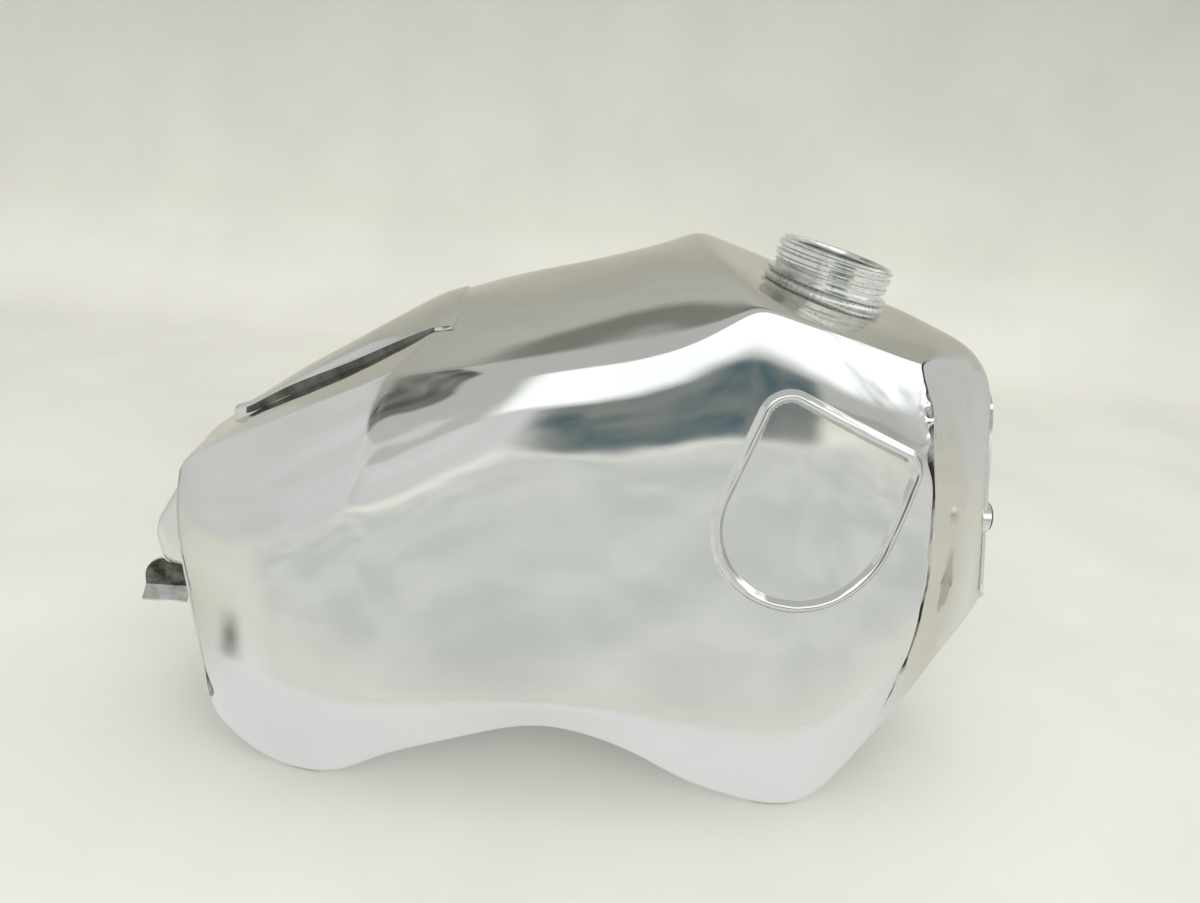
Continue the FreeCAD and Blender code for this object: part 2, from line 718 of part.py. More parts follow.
def ring_feature(body, name, inner, outer, low, height):
    """A ring round the body's Z axis: a revolved rectangle whose four sides are bound to the sheet."""
    sketch = body.newObject("Sketcher::SketchObject", name + "_section")
    sketch.AttachmentSupport = [(body_plane(body, "XZ_Plane"), "")]
    sketch.MapMode = "FlatFace"
    corners = [Vector(10, 1, 0), Vector(20, 1, 0), Vector(20, 5, 0), Vector(10, 5, 0)]
    for i, corner in enumerate(corners):
        sketch.addGeometry(Part.LineSegment(corner, corners[(i + 1) % 4]), False)
    for i in range(4):
        sketch.addConstraint(Sketcher.Constraint("Coincident", i, 2, (i + 1) % 4, 1))
    for i, way in enumerate(("Horizontal", "Vertical", "Horizontal", "Vertical")):
        sketch.addConstraint(Sketcher.Constraint(way, i))
    sizes = (
        (Sketcher.Constraint("DistanceX", -1, 1, 0, 1, 10), inner),
        (Sketcher.Constraint("DistanceX", -1, 1, 0, 2, 20), outer),
        (Sketcher.Constraint("DistanceY", -1, 1, 0, 1, 1), low),
        (Sketcher.Constraint("DistanceY", 1, 1, 1, 2, 4), height),
    )
    for constraint, expression in sizes:
        number = sketch.addConstraint(constraint)
        sketch.setExpression(f"Constraints[{number}]", expression)
    ring = body.newObject("PartDesign::Revolution", name)
    ring.Profile = (sketch, [""])
    ring.ReferenceAxis = (sketch, ["V_Axis"])
    ring.Angle = 360
    return ring, sketch


doc.recompute()
neck = doc.addObject("PartDesign::Body", "filler_neck")
neck.Label = "filler_neck"
bore, tube_radius = "dims.neck_bore_radius", "dims.neck_tube_radius"
neck_length = "dims.neck_below_deck + dims.neck_height"
ring_feature(neck, "neck_tube", bore, tube_radius, "-dims.neck_below_deck", neck_length)
ring_feature(neck, "neck_collar", bore, "dims.collar_radius", "dims.collar_low", "dims.collar_height")
ridge, ridge_sketch = ring_feature(
    neck, "neck_ridge", bore, "dims.thread_radius", "dims.thread_first", "dims.thread_crest"
)
doc.recompute()
ridges = neck.newObject("PartDesign::LinearPattern", "neck_ridges")
ridges.Originals = [ridge]
ridges.Direction = (ridge_sketch, ["V_Axis"])
bind(ridges, Length="dims.thread_pitch * (dims.thread_count - 1)", Occurrences="dims.thread_count")
neck.Tip = ridges
place(neck, NECK_TURN, "dims.neck_along + dims.mid_offset", "0", "dims.neck_up")

bead_cone = doc.addObject("Part::Cone", "neck_bead_cone")
bind(
    bead_cone,
    Radius1="dims.neck_tube_radius + dims.neck_bead_foot",
    Radius2="dims.neck_tube_radius + dims.neck_bead_top",
    Height="dims.neck_bead_height",
)
place(
    bead_cone, NECK_TURN,
    "dims.neck_along + dims.mid_offset + dims.neck_bead_low * sin(dims.neck_tilt * 1 deg)",
    "0", "dims.neck_up + dims.neck_bead_low * cos(dims.neck_tilt * 1 deg)",
)  # fmt: skip
neck_core = neck_cylinder("neck_core", tube_radius, "2 * dims.neck_below_deck")
neck_bead = add_cut("neck_weld_bead", bead_cone, neck_core)


# ---- fuel tap boss ----
boss_body = boss_cylinder("boss_body", "dims.boss_radius", "dims.boss_length + dims.boss_proud")
boss_bore = boss_cylinder("boss_bore", "dims.boss_thread_radius", "2 * dims.boss_length")
boss = add_cut("petcock_boss", boss_body, boss_bore)


# ---- front mounting cups and bushes ----
cup_body = cup_cylinder("cup_body", "dims.cup_radius", "dims.cup_length", "0")
cup_inside = "dims.cup_length - dims.cup_floor"
cup_bore = cup_cylinder("cup_bore", "dims.cup_bore_radius", cup_inside, "dims.cup_floor")
right_cup = add_cut("right_mount_cup", cup_body, cup_bore)
left_cup = add_mirror("left_mount_cup", right_cup)
bush_body = cup_cylinder("bush_body", "dims.cup_bore_radius", cup_inside, "dims.bush_proud")
bush_bore = cup_cylinder("bush_bore", "dims.bush_bore_radius", "dims.cup_length", "2 * dims.bush_proud")
right_bush = add_cut("right_mount_bush", bush_body, bush_bore)
left_bush = add_mirror("left_mount_bush", right_bush)


# ---- rear hooks ----
hook_disc = add_cylinder("hook_disc", "dims.hook_radius", "dims.hook_plate")
hook_disc.Angle = 180
hook_turn = Rotation(Vector(1, 0, 0), 90)
place(hook_disc, hook_turn, "dims.hook_along + dims.mid_offset", "-dims.hook_across", "dims.hook_up")
hook_start = "dims.hook_along + dims.mid_offset - dims.hook_radius"
hook_skirt = add_box("hook_skirt", "2 * dims.hook_radius", "dims.hook_plate", "dims.hook_drop")
hook_face = "-dims.hook_across - dims.hook_plate"
place(
    hook_skirt, Rotation(), hook_start, hook_face, "dims.hook_up - dims.hook_drop"
)
hook_lip = add_box("hook_lip", "2 * dims.hook_radius", "dims.hook_plate", "dims.hook_lip")
lip_turn = Rotation(Vector(1, 0, 0), 180 - dims.hook_lip_angle)
place(hook_lip, lip_turn, hook_start, "-dims.hook_across", "dims.hook_up - dims.hook_drop")
hook_blank = add_fuse("hook_blank", hook_disc, hook_skirt, hook_lip)
right_hook = add_cut("right_rear_hook", hook_blank, pan_outside)
left_hook = add_mirror("left_rear_hook", right_hook)

PIECES = [
    right_side, left_side, right_nose, left_nose, right_floor, left_floor, right_wall, left_wall,
    tunnel_roof, rear_end, front_end, rear_pan, tail_panel, right_bead, left_bead, neck, neck_bead, boss,
    right_cup, left_cup, right_bush, left_bush, right_hook, left_hook,
]  # fmt: skip

doc.recompute()
troubled = [item.Name for item in doc.Objects if "Invalid" in item.State or "Error" in item.State]
if troubled:
    raise SystemExit(f"objects in error: {troubled}")
for piece in PIECES:
    if piece.Shape.isNull() or not piece.Shape.isValid():
        raise SystemExit(f"{piece.Label} has no valid shape")

os.makedirs("parts", exist_ok=True)
for piece in PIECES:
    piece.Shape.exportStep(f"parts/{piece.Label}.step")
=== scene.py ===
import math

import bpy
import numpy as np
from mathutils import Matrix, Vector


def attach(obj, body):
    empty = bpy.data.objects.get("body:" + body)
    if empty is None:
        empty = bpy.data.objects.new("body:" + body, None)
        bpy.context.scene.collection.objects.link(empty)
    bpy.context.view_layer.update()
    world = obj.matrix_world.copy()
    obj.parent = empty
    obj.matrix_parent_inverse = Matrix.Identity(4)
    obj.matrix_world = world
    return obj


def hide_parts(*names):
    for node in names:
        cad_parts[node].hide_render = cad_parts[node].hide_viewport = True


# Looks of a hand-formed, mirror-polished aluminium motorcycle fuel tank. Metres, +X to the front, +Z up. The
# skin repeats the CAD model's control net, in millimetres, at a density that mirror reflections need.

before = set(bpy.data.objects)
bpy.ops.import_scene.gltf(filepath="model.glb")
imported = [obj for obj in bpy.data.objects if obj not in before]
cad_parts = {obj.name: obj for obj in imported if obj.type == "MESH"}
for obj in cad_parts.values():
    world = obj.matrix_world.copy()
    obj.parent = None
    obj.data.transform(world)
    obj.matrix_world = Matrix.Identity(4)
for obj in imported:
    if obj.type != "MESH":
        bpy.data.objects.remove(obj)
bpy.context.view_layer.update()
MM = 0.001
MID_OFFSET = -9.5
WALL = 2.0

# The rows of the net, from the top of the tank round the near side to the roof of the tunnel.
ROWS = [
    "crown", "crown_inner", "crown_outer", "shoulder", "flank_top", "flank_middle", "flank_low", "band",
    "foot_outer", "foot_inner", "tunnel_wall", "roof_edge", "roof",
]  # fmt: skip

# The rings of the net, rear to front. Each point is x, half width and z.
STATIONS = {
    "tail": [
        (-211, 0, 163), (-211, 10, 163.5), (-211, 19, 164), (-211, 27, 163.5), (-208.5, 42, 149),
        (-203.5, 55, 122), (-198, 56, 95), (-194, 60, 72), (-187, 66, 34), (-188, 45, 40),
        (-192, 38, 62), (-196.5, 28, 86), (-197.5, 0, 90),
    ],
    "seat_rear": [
        (-176, 0, 188), (-176, 16, 188), (-175, 30, 187.5), (-174, 42, 186.5), (-168, 76, 160),
        (-166, 84, 130), (-164, 86, 100), (-163, 86, 74), (-172, 68, 13), (-170, 46, 20),
        (-168, 40, 56), (-168, 30, 92), (-168, 0, 96),
    ],
    "seat_middle": [
        (-140, 0, 211), (-140, 22, 210.5), (-139, 40, 209), (-138, 54, 207.5), (-140, 88, 187),
        (-142, 98, 148), (-140, 99, 106), (-138, 97, 70), (-146, 69, -3.5), (-144, 45, 8),
        (-142, 40, 54), (-140, 31, 98), (-140, 0, 102),
    ],
    "seat_front": [
        (-110, 0, 229), (-110, 26, 228), (-110, 46, 226.5), (-111, 63, 223.5), (-114, 92, 206),
        (-120, 105, 164), (-116, 106, 112), (-108, 104, 68), (-118, 76, 0.5), (-116, 44, 12),
        (-112, 40, 60), (-108, 31, 104), (-108, 0, 108),
    ],
    "step": [
        (-65, 0, 262.5), (-72, 43, 254), (-81, 59, 245), (-90, 72, 236.5), (-95, 98, 218),
        (-102, 108, 178), (-92, 110, 118), (-84, 108, 72), (-86, 80, 20), (-84, 44, 30),
        (-80, 40, 74), (-76, 31, 109), (-76, 0, 113),
    ],
    "waist": [
        (-35, 0, 267), (-38, 45, 265), (-43, 76, 259), (-46, 98, 251), (-50, 109, 230),
        (-54, 111, 186), (-48, 111, 126), (-44, 108, 76), (-48, 86, 38), (-48, 44, 46),
        (-46, 40, 86), (-44, 31, 113), (-44, 0, 117),
    ],
    "middle": [
        (5, 0, 280), (4, 45, 278), (3, 79, 271), (1, 104, 260), (-1, 112, 234),
        (-3, 113, 188), (-3, 113, 130), (-3, 109, 80), (-4, 92, 58), (-4, 44, 66),
        (-2, 40, 98), (0, 31, 118), (0, 0, 122),
    ],
    "rise": [
        (42, 0, 293), (42, 46, 291), (42, 80, 284), (41, 106, 269), (40, 113, 240),
        (40, 114, 194), (40, 113, 134), (40, 109, 77), (40, 89, 40), (40, 44, 48),
        (41, 39, 92), (42, 31, 122), (42, 0, 126),
    ],
    "apex": [
        (68, 0, 299), (69, 48, 298), (72, 82, 295.5), (76, 106, 291.5), (77, 112, 264),
        (77, 114, 210), (77, 113, 140), (76, 109, 73), (80, 85, 15), (80, 44, 22),
        (78, 39, 80), (76, 30, 126), (76, 0, 130),
    ],
    "neck": [
        (108, 0, 284.5), (108, 48, 286), (110, 80, 284.5), (115, 102, 281), (114, 111, 256),
        (114, 113, 205), (114, 113, 138), (114, 108, 68), (122, 81, -1), (120, 42, 6),
        (116, 38, 76), (112, 30, 129), (112, 0, 133),
    ],
    "deck": [
        (150, 0, 275.5), (148, 44, 276.5), (145, 72, 275.5), (140, 94, 272.5), (146, 105, 248),
        (150, 108, 200), (150, 108, 136), (148, 105, 74), (152, 80, -2.3), (150, 40, 6),
        (146, 37, 78), (142, 29, 132), (142, 0, 136),
    ],
    "front_edge": [
        (190, 0, 269), (184, 40, 268.5), (174, 66, 267.5), (161, 86, 265.5), (168, 96, 240),
        (177, 99, 200), (185, 98, 150), (183, 96, 112), (178, 80, 46), (178, 38, 54),
        (176, 36, 100), (174, 28, 134), (174, 0, 138),
    ],
    "facet": [
        (207, 0, 263), (203, 24, 262), (197, 44, 258), (188, 57, 253), (186, 67, 237),
        (197, 69, 198), (205, 69, 150), (203, 71, 110), (200, 66, 66), (203, 34, 74),
        (202, 33, 110), (201, 27, 136), (201, 0, 140),
    ],
    "column": [
        (220, 0, 257), (218, 12, 255.5), (214, 24, 251), (208, 34, 243), (208, 38, 226),
        (217, 38, 196), (225, 38, 150), (224, 42, 110), (220, 48, 82), (224, 29, 92),
        (225, 27, 122), (224, 23, 138), (224, 0, 142),
    ],
    "nose": [
        (229.5, 0, 246), (229.5, 10, 245), (228.5, 18, 242), (227.5, 24, 235), (229.5, 27, 218),
        (234.5, 28, 190), (240.5, 29, 150), (243.5, 31, 120), (240, 35, 102), (242, 23, 105),
        (243.5, 20.5, 122), (240, 17, 138), (240, 0, 142),
    ],
}  # fmt: skip

# The flat ends: half width and z of each point of the last ring, and the leaning plane x = foot + lean * z.
END_RINGS = {
    "tail_end": [
        (0, 158.5), (9, 158.5), (16, 158.5), (22, 157), (37, 145), (49, 120.5), (51, 95), (55, 73), (61, 40),
        (49, 44), (42, 62), (33, 90), (0, 94.5),
    ],
    "nose_end": [
        (0, 236), (8, 235.5), (14, 233), (18, 228), (20, 214), (21, 190), (23, 150), (25, 124), (27, 113),
        (18, 112), (17, 125), (13, 141), (0, 145),
    ],
}  # fmt: skip
END_PLANES = {"tail_end": (-179.5, -0.19), "nose_end": (266.3, -0.155)}

# How soft each crease is: the two points beside it lie this share of the way to the next row or ring.
ROW_CREASES = {
    "shoulder": {
        "other": 0.12, "seat_front": 0.14, "step": 0.2, "waist": 0.5, "middle": 0.5, "rise": 0.42,
        "apex": 0.16, "front_edge": 0.14, "facet": 0.3, "column": 0.4, "nose": 0.4, "nose_end": 0.4,
    },
    "band": {
        "other": 0.22, "step": 0.28, "waist": 0.3, "middle": 0.3, "rise": 0.3, "facet": 0.25,
        "column": 0.35, "nose": 0.4, "nose_end": 0.4,
    },
    "foot_outer": {"other": 0.14, "column": 0.25, "nose": 0.35, "nose_end": 0.35},
    "foot_inner": {"other": 0.22, "column": 0.3, "nose": 0.35, "nose_end": 0.35},
    "roof_edge": {"other": 0.22, "nose": 0.3, "nose_end": 0.3},
}  # fmt: skip
RING_CREASES = {
    "step": {"other": 0.5, "crown": 0.14, "crown_inner": 0.14, "crown_outer": 0.14, "shoulder": 0.18,
             "flank_top": 0.3},
    "apex": {"other": 0.5, "crown": 0.3, "crown_inner": 0.3, "crown_outer": 0.3, "shoulder": 0.3,
             "flank_top": 0.4},
    "front_edge": {"other": 0.5, "crown_inner": 0.45, "crown_outer": 0.3, "shoulder": 0.14,
                   "flank_top": 0.08, "flank_middle": 0.08, "flank_low": 0.08, "band": 0.12,
                   "foot_outer": 0.3},
}  # fmt: skip

# Rings of the raised panel at the seat's tail: x, half width at the foot and at the edge, and z of the foot,
# the edge and the crown line.
TAIL_PANEL = [
    (-186, 4.5, 4, 187, 188, 188.5),
    (-180, 7.8, 7, 185, 189, 190),
    (-165, 13, 12, 194.5, 200, 201),
    (-151, 18, 17, 204, 209.5, 211.5),
    (-131, 25.2, 24, 213.5, 220.5, 224),
    (-112, 30.2, 29, 224.5, 231, 237),
    (-90, 38.4, 37, 236.5, 245, 250.5),
    (-75, 45, 44, 250, 253.5, 259),
    (-64, 49, 48, 256, 256.5, 262),
]

DIMS = {
    # filler neck: its axis leans to the front
    "neck_along": 131.5,
    "neck_up": 279.8,
    "neck_tilt": 12.4,
    "neck_bore_radius": 27.5,
    "neck_tube_radius": 30.0,
    "neck_height": 22.7,
    "neck_below_deck": 7.0,
    "thread_radius": 31.75,
    "thread_pitch": 5.0,
    "thread_first": 9.7,
    "collar_radius": 33.5,
    "collar_low": 4.2,
    "collar_height": 2.6,
    "neck_bead_foot": 4.0,
    "neck_bead_height": 3.4,
    # front mounting cups
    "cup_across": 15.0,
    "cup_up": 160.0,
    "cup_radius": 10.0,
    # rear pan, which closes the tail above the tunnel
    "pan_half_width": 31.0,
    "pan_tip_half_width": 28.0,
    "pan_reach": 22.0,
    "pan_low": 99.0,
    "pan_high": 154.0,
    "pan_tip_low": 106.0,
    "pan_tip_high": 128.0,
    "pan_corner": 7.0,
    # raised panel at the seat's tail
    "tail_panel_crease": 0.12,
    # how far up the panel side the painted shade on the step reaches, in spans of its net
    "tail_panel_shade_reach": 1.45,
    # badge recess: its outline is a band stretched round three circles
    "badge_main_along": 113.0,
    "badge_main_up": 190.0,
    "badge_main_radius": 44.0,
    "badge_rear_along": 95.0,
    "badge_rear_up": 241.0,
    "badge_front_along": 152.0,
    "badge_front_up": 215.0,
    "badge_corner_radius": 12.0,
    "badge_bead_width": 6.5,
    "badge_bead_height": 2.2,
    "badge_recess": 0.9,
    # rough weld spot near the top of the front edge
    "weld_spot_along": 168.0,
    "weld_spot_across": 94.0,
    "weld_spot_up": 246.0,
    # heights round which the seams widen at their feet
    "front_seam_foot_up": 98.0,
    "tail_seam_foot_up": 52.0,
}


# ---- the skin's control net ----
def between(start, end, share):
    return start + (end - start) * share


def half_ring(station):
    """The right half of one ring, with the creased rows tripled."""
    if station in END_RINGS:
        foot, lean = END_PLANES[station]
        rows = [(foot + lean * z, half, z) for half, z in END_RINGS[station]]
    else:
        rows = STATIONS[station]
    points = [np.array([x + MID_OFFSET, -half, z], float) for x, half, z in rows]
    line = []
    names = []
    for i, row in enumerate(ROWS):
        if row in ROW_CREASES:
            share = ROW_CREASES[row].get(station, ROW_CREASES[row]["other"])
            before = between(points[i], points[i - 1], share)
            after = between(points[i], points[i + 1], share)
            line += [before, points[i], after]
        else:
            line.append(points[i])
        names += [row] * (3 if row in ROW_CREASES else 1)
    return np.array(line), names


def make_net():
    """All rings as one array, rings by columns by xyz, and the index of each ring and column."""
    order = ["tail_end", *STATIONS, "nose_end"]
    halves = [half_ring(station)[0] for station in order]
    names = half_ring(order[0])[1]
    rings = []
    ring_index = {}
    for i, station in enumerate(order):
        if station in RING_CREASES:
            shares = RING_CREASES[station]
            near = np.array([shares.get(row, shares["other"]) for row in names])[:, None]
            rings.append(between(halves[i], halves[i - 1], near))
            ring_index[station] = len(rings)
            rings.append(halves[i])
            rings.append(between(halves[i], halves[i + 1], near))
        else:
            ring_index[station] = len(rings)
            rings.append(halves[i])
    right = np.array(rings)
    left = right[:, -2:0:-1] * np.array([1, -1, 1])
    column_index = {}
    for row in ROWS:
        column_index[row] = names.index(row) + (1 if row in ROW_CREASES else 0)
    return np.concatenate([right, left], 1), ring_index, column_index


NET, RING, COLUMN = make_net()
COLUMNS = NET.shape[1]
LAST_RING = len(NET) - 1


def with_ends(grid):
    """The grid with a spare line beyond its first and last, straight on."""
    return np.concatenate([2 * grid[:1] - grid[1:2], grid, 2 * grid[-1:] - grid[-2:-1]])


SKIN = with_ends(NET)
SKIN = np.concatenate([SKIN[:, -1:], SKIN, SKIN[:, :2]], 1)


# ---- uniform cubic B-spline evaluation ----
def weights(t):
    return np.stack([(1 - t) ** 3, 3 * t**3 - 6 * t**2 + 4, -3 * t**3 + 3 * t**2 + 3 * t + 1, t**3], -1) / 6


def span_matrix(values, count):
    start = np.minimum(np.floor(values).astype(int), count - 4)
    matrix = np.zeros((len(values), count))
    rows = np.arange(len(values))
    share = weights(values - start)
    for k in range(4):
        matrix[rows, start + k] = share[:, k]
    return matrix


def surface(grid, us, vs):
    """Points at every pair of the parameters: us along the first axis and vs along the second."""
    left = span_matrix(us, grid.shape[0])
    right = span_matrix(vs, grid.shape[1])
    return np.einsum("ai,ijk,bj->abk", left, grid, right, optimize=True)


def surface_at(grid, u, v):
    """Points at matching pairs of parameters."""
    i = np.clip(np.floor(u).astype(int), 0, grid.shape[0] - 4)
    j = np.clip(np.floor(v).astype(int), 0, grid.shape[1] - 4)
    wu = weights(u - i)
    wv = weights(v - j)
    total = 0
    for a in range(4):
        for b in range(4):
            total = total + (wu[:, a] * wv[:, b])[:, None] * grid[i + a, j + b]
    return total


def samples(grid, axis, spacing, low=3):
    """Parameters along one axis, closer where the spans are long."""
    lengths = np.linalg.norm(np.diff(grid, axis=axis), axis=-1).max(axis=1 - axis)
    values = []
    for i in range(grid.shape[axis] - 3):
        count = max(low, int(math.ceil(lengths[i + 1] / spacing)))
        values.append(np.arange(count) / count + i)
    return np.concatenate(values + [[grid.shape[axis] - 3.0]])


def waves(points, sizes, seed, count=14):
    """A smooth random field over the points, made of plane waves with lengths between the two sizes."""
    random = np.random.default_rng(seed)
    total = np.zeros(points.shape[:-1])
    for _ in range(count):
        way = random.normal(size=3)
        way /= np.linalg.norm(way)
        length = random.uniform(*sizes)
        total += np.cos(points @ way * (2 * math.pi / length) + random.uniform(0, 2 * math.pi))
    return total / math.sqrt(count / 2)


def grid_normals(points, cyclic):
    """Unit normals of a grid by differences, outward for the skin."""
    along = np.gradient(points, axis=0)
    if cyclic:
        ring = points[:, :-1]
        around = np.roll(ring, -1, 1) - np.roll(ring, 1, 1)
        around = np.concatenate([around, around[:, :1]], 1)
    else:
        around = np.gradient(points, axis=1)
    normals = np.cross(around, along)
    return normals / (np.linalg.norm(normals, axis=-1, keepdims=True) + 1e-12)


# ---- mesh helpers ----
def grid_faces(rows, columns, keep=None):
    index = np.arange(rows * columns).reshape(rows, columns)
    quads = np.stack([index[:-1, :-1], index[:-1, 1:], index[1:, 1:], index[1:, :-1]], -1)
    if keep is not None:
        quads = quads[keep]
    return quads.reshape(-1, 4)


def add_mesh(name, points, faces, material, normals=None, smooth=True):
    """A mesh from points in millimetres."""
    mesh = bpy.data.meshes.new(name)
    corners = np.asarray(points).reshape(-1, 3) * MM
    mesh.from_pydata(corners.tolist(), [], [list(map(int, face)) for face in faces])
    mesh.materials.append(material)
    mesh.polygons.foreach_set("use_smooth", [smooth] * len(mesh.polygons))
    mesh.update()
    if normals is not None:
        mesh.normals_split_custom_set_from_vertices(np.asarray(normals).reshape(-1, 3).tolist())
    piece = bpy.data.objects.new(name, mesh)
    bpy.context.scene.collection.objects.link(piece)
    return piece


def as_piece(piece, slot, *nodes):
    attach(piece, "root")
    if nodes:
        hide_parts(*nodes)
    return piece


# ---- materials ----
def new_material(name, colour, metallic, roughness):
    material = bpy.data.materials.new(name)
    material.use_nodes = True
    shader = material.node_tree.nodes["Principled BSDF"]
    shader.inputs["Base Color"].default_value = (*colour, 1)
    shader.inputs["Metallic"].default_value = metallic
    shader.inputs["Roughness"].default_value = roughness
    return material, material.node_tree, shader


def coordinates(tree, stretch=(1, 1, 1)):
    place = tree.nodes.new("ShaderNodeTexCoord")
    mapping = tree.nodes.new("ShaderNodeMapping")
    mapping.inputs["Scale"].default_value = stretch
    tree.links.new(place.outputs["Object"], mapping.inputs["Vector"])
    return mapping.outputs["Vector"]


def noise(tree, vector, scale, detail=4.0, rough=0.5):
    texture = tree.nodes.new("ShaderNodeTexNoise")
    texture.inputs["Scale"].default_value = scale
    texture.inputs["Detail"].default_value = detail
    texture.inputs["Roughness"].default_value = rough
    tree.links.new(vector, texture.inputs["Vector"])
    return texture.outputs["Fac"]


def ramp(tree, value, low, high, start=0.3, end=0.7):
    node = tree.nodes.new("ShaderNodeMapRange")
    node.inputs["From Min"].default_value = start
    node.inputs["From Max"].default_value = end
    node.inputs["To Min"].default_value = low
    node.inputs["To Max"].default_value = high
    tree.links.new(value, node.inputs["Value"])
    return node.outputs["Result"]


def mix_colour(tree, value, low, high, start=0.3, end=0.7):
    node = tree.nodes.new("ShaderNodeValToRGB")
    node.color_ramp.elements[0].position = start
    node.color_ramp.elements[0].color = (*low, 1)
    node.color_ramp.elements[1].position = end
    node.color_ramp.elements[1].color = (*high, 1)
    tree.links.new(value, node.inputs["Fac"])
    return node.outputs["Color"]


def colour_by(tree, shader, value, low, high, start=0.3, end=0.7):
    """The base colour runs from low to high as the value goes from start to end."""
    tree.links.new(mix_colour(tree, value, low, high, start, end), shader.inputs["Base Color"])


def roughness_by(tree, shader, value, low, high):
    tree.links.new(ramp(tree, value, low, high), shader.inputs["Roughness"])


def bump(tree, shader, height, distance, strength=1.0, before=None):
    node = tree.nodes.new("ShaderNodeBump")
    node.inputs["Strength"].default_value = strength
    node.inputs["Distance"].default_value = distance
    tree.links.new(height, node.inputs["Height"])
    if before is not None:
        tree.links.new(before, node.inputs["Normal"])
    tree.links.new(node.outputs["Normal"], shader.inputs["Normal"])
    return node.outputs["Normal"]


def polished_aluminium():
    """Mirror polish with a faint haze, buffing swirls and a few fine scratches."""
    material, tree, shader = new_material("polished_aluminium", (0.76, 0.765, 0.755), 1.0, 0.07)
    shader.inputs["Specular Tint"].default_value = (0.8, 0.79, 0.75, 1)
    place = coordinates(tree)
    haze = noise(tree, place, 22.0, 5.0, 0.55)
    roughness_by(tree, shader, haze, 0.045, 0.11)
    tint = noise(tree, place, 9.0, 3.0)
    colour_by(tree, shader, tint, (0.735, 0.74, 0.735), (0.79, 0.792, 0.78))
    swirl = noise(tree, coordinates(tree, (1.0, 0.6, 2.2)), 900.0, 2.0)
    first = bump(tree, shader, swirl, 0.000004, 0.5)
    bump(tree, shader, noise(tree, place, 70.0, 3.0), 0.00003, 0.35, first)
    return material


def satin_aluminium():
    """As-formed sheet in the tunnel, rolled and handled but never polished."""
    material, tree, shader = new_material("satin_aluminium", (0.66, 0.66, 0.65), 1.0, 0.32)
    place = coordinates(tree)
    streak = noise(tree, coordinates(tree, (0.15, 1.0, 1.0)), 160.0, 6.0, 0.65)
    roughness_by(tree, shader, streak, 0.24, 0.42)
    stain = noise(tree, place, 30.0, 4.0)
    colour_by(tree, shader, stain, (0.58, 0.58, 0.565), (0.72, 0.72, 0.71))
    bump(tree, shader, streak, 0.00006, 0.5)
    return material


def machined_aluminium():
    """Turned metal: fine rings of tool marks and small dark specks."""
    material, tree, shader = new_material("machined_aluminium", (0.76, 0.76, 0.745), 1.0, 0.16)
    place = coordinates(tree)
    marks = noise(tree, coordinates(tree, (0.15, 0.15, 1.0)), 1400.0, 2.0)
    roughness_by(tree, shader, noise(tree, place, 120.0, 4.0), 0.13, 0.26)
    speck = noise(tree, place, 420.0, 3.0)
    colour_by(tree, shader, speck, (0.62, 0.61, 0.585), (0.8, 0.8, 0.785), 0.28, 0.45)
    bump(tree, shader, marks, 0.00001, 0.12)
    return material


def weld_aluminium():
    """Weld metal: rippled, duller, with grey oxide in the valleys."""
    material, tree, shader = new_material("weld_aluminium", (0.64, 0.64, 0.62), 1.0, 0.25)
    place = coordinates(tree)
    grain = noise(tree, place, 350.0, 5.0, 0.6)
    roughness_by(tree, shader, grain, 0.16, 0.4)
    colour_by(tree, shader, grain, (0.58, 0.58, 0.56), (0.78, 0.78, 0.76))
    bump(tree, shader, grain, 0.00015, 0.6)
    return material


def hook_metal():
    """Bent strap plate: brushed, with rubbed spots, and its faces that look along y painted near-black as a
    painted dark reflection.
    """
    material, tree, shader = new_material("hook_plate", (0.6, 0.6, 0.58), 1.0, 0.3)
    place = coordinates(tree)
    brush = noise(tree, coordinates(tree, (0.12, 1.0, 1.0)), 700.0, 4.0)
    roughness_by(tree, shader, brush, 0.2, 0.45)
    wear_and_reflection_mottle = noise(tree, place, 140.0, 5.0, 0.6)
    bare_metal_patches = mix_colour(tree, wear_and_reflection_mottle, (0.4, 0.4, 0.38), (0.75, 0.75, 0.73), 0.3, 0.6)
    painted_dark_side = mix_colour(tree, wear_and_reflection_mottle, (0.045, 0.043, 0.035), (0.2, 0.195, 0.18), 0.4, 0.7)
    # Faces that look along y take the near-black colour: painted dark reflection.
    facing = tree.nodes.new("ShaderNodeNewGeometry")
    way = tree.nodes.new("ShaderNodeVectorMath")
    way.operation = "ABSOLUTE"
    tree.links.new(facing.outputs["True Normal"], way.inputs[0])
    parts = tree.nodes.new("ShaderNodeSeparateXYZ")
    tree.links.new(way.outputs["Vector"], parts.inputs["Vector"])
    blend = tree.nodes.new("ShaderNodeMix")
    blend.data_type = "RGBA"
    tree.links.new(ramp(tree, parts.outputs["Y"], 0.0, 1.0, 0.8, 0.95), blend.inputs["Factor"])
    tree.links.new(bare_metal_patches, blend.inputs[6])
    tree.links.new(painted_dark_side, blend.inputs[7])
    tree.links.new(blend.outputs[2], shader.inputs["Base Color"])
    bump(tree, shader, brush, 0.00008, 0.5)
    return material


def rubber():
    """Matt black rubber with moulding bloom and fine grain."""
    material, tree, shader = new_material("rubber", (0.02, 0.02, 0.02), 0.0, 0.7)
    place = coordinates(tree)
    bloom = noise(tree, place, 90.0, 5.0)
    colour_by(tree, shader, bloom, (0.012, 0.012, 0.012), (0.045, 0.044, 0.042))
    roughness_by(tree, shader, bloom, 0.58, 0.85)
    bump(tree, shader, noise(tree, place, 1500.0, 2.0), 0.00005, 0.4)
    return material


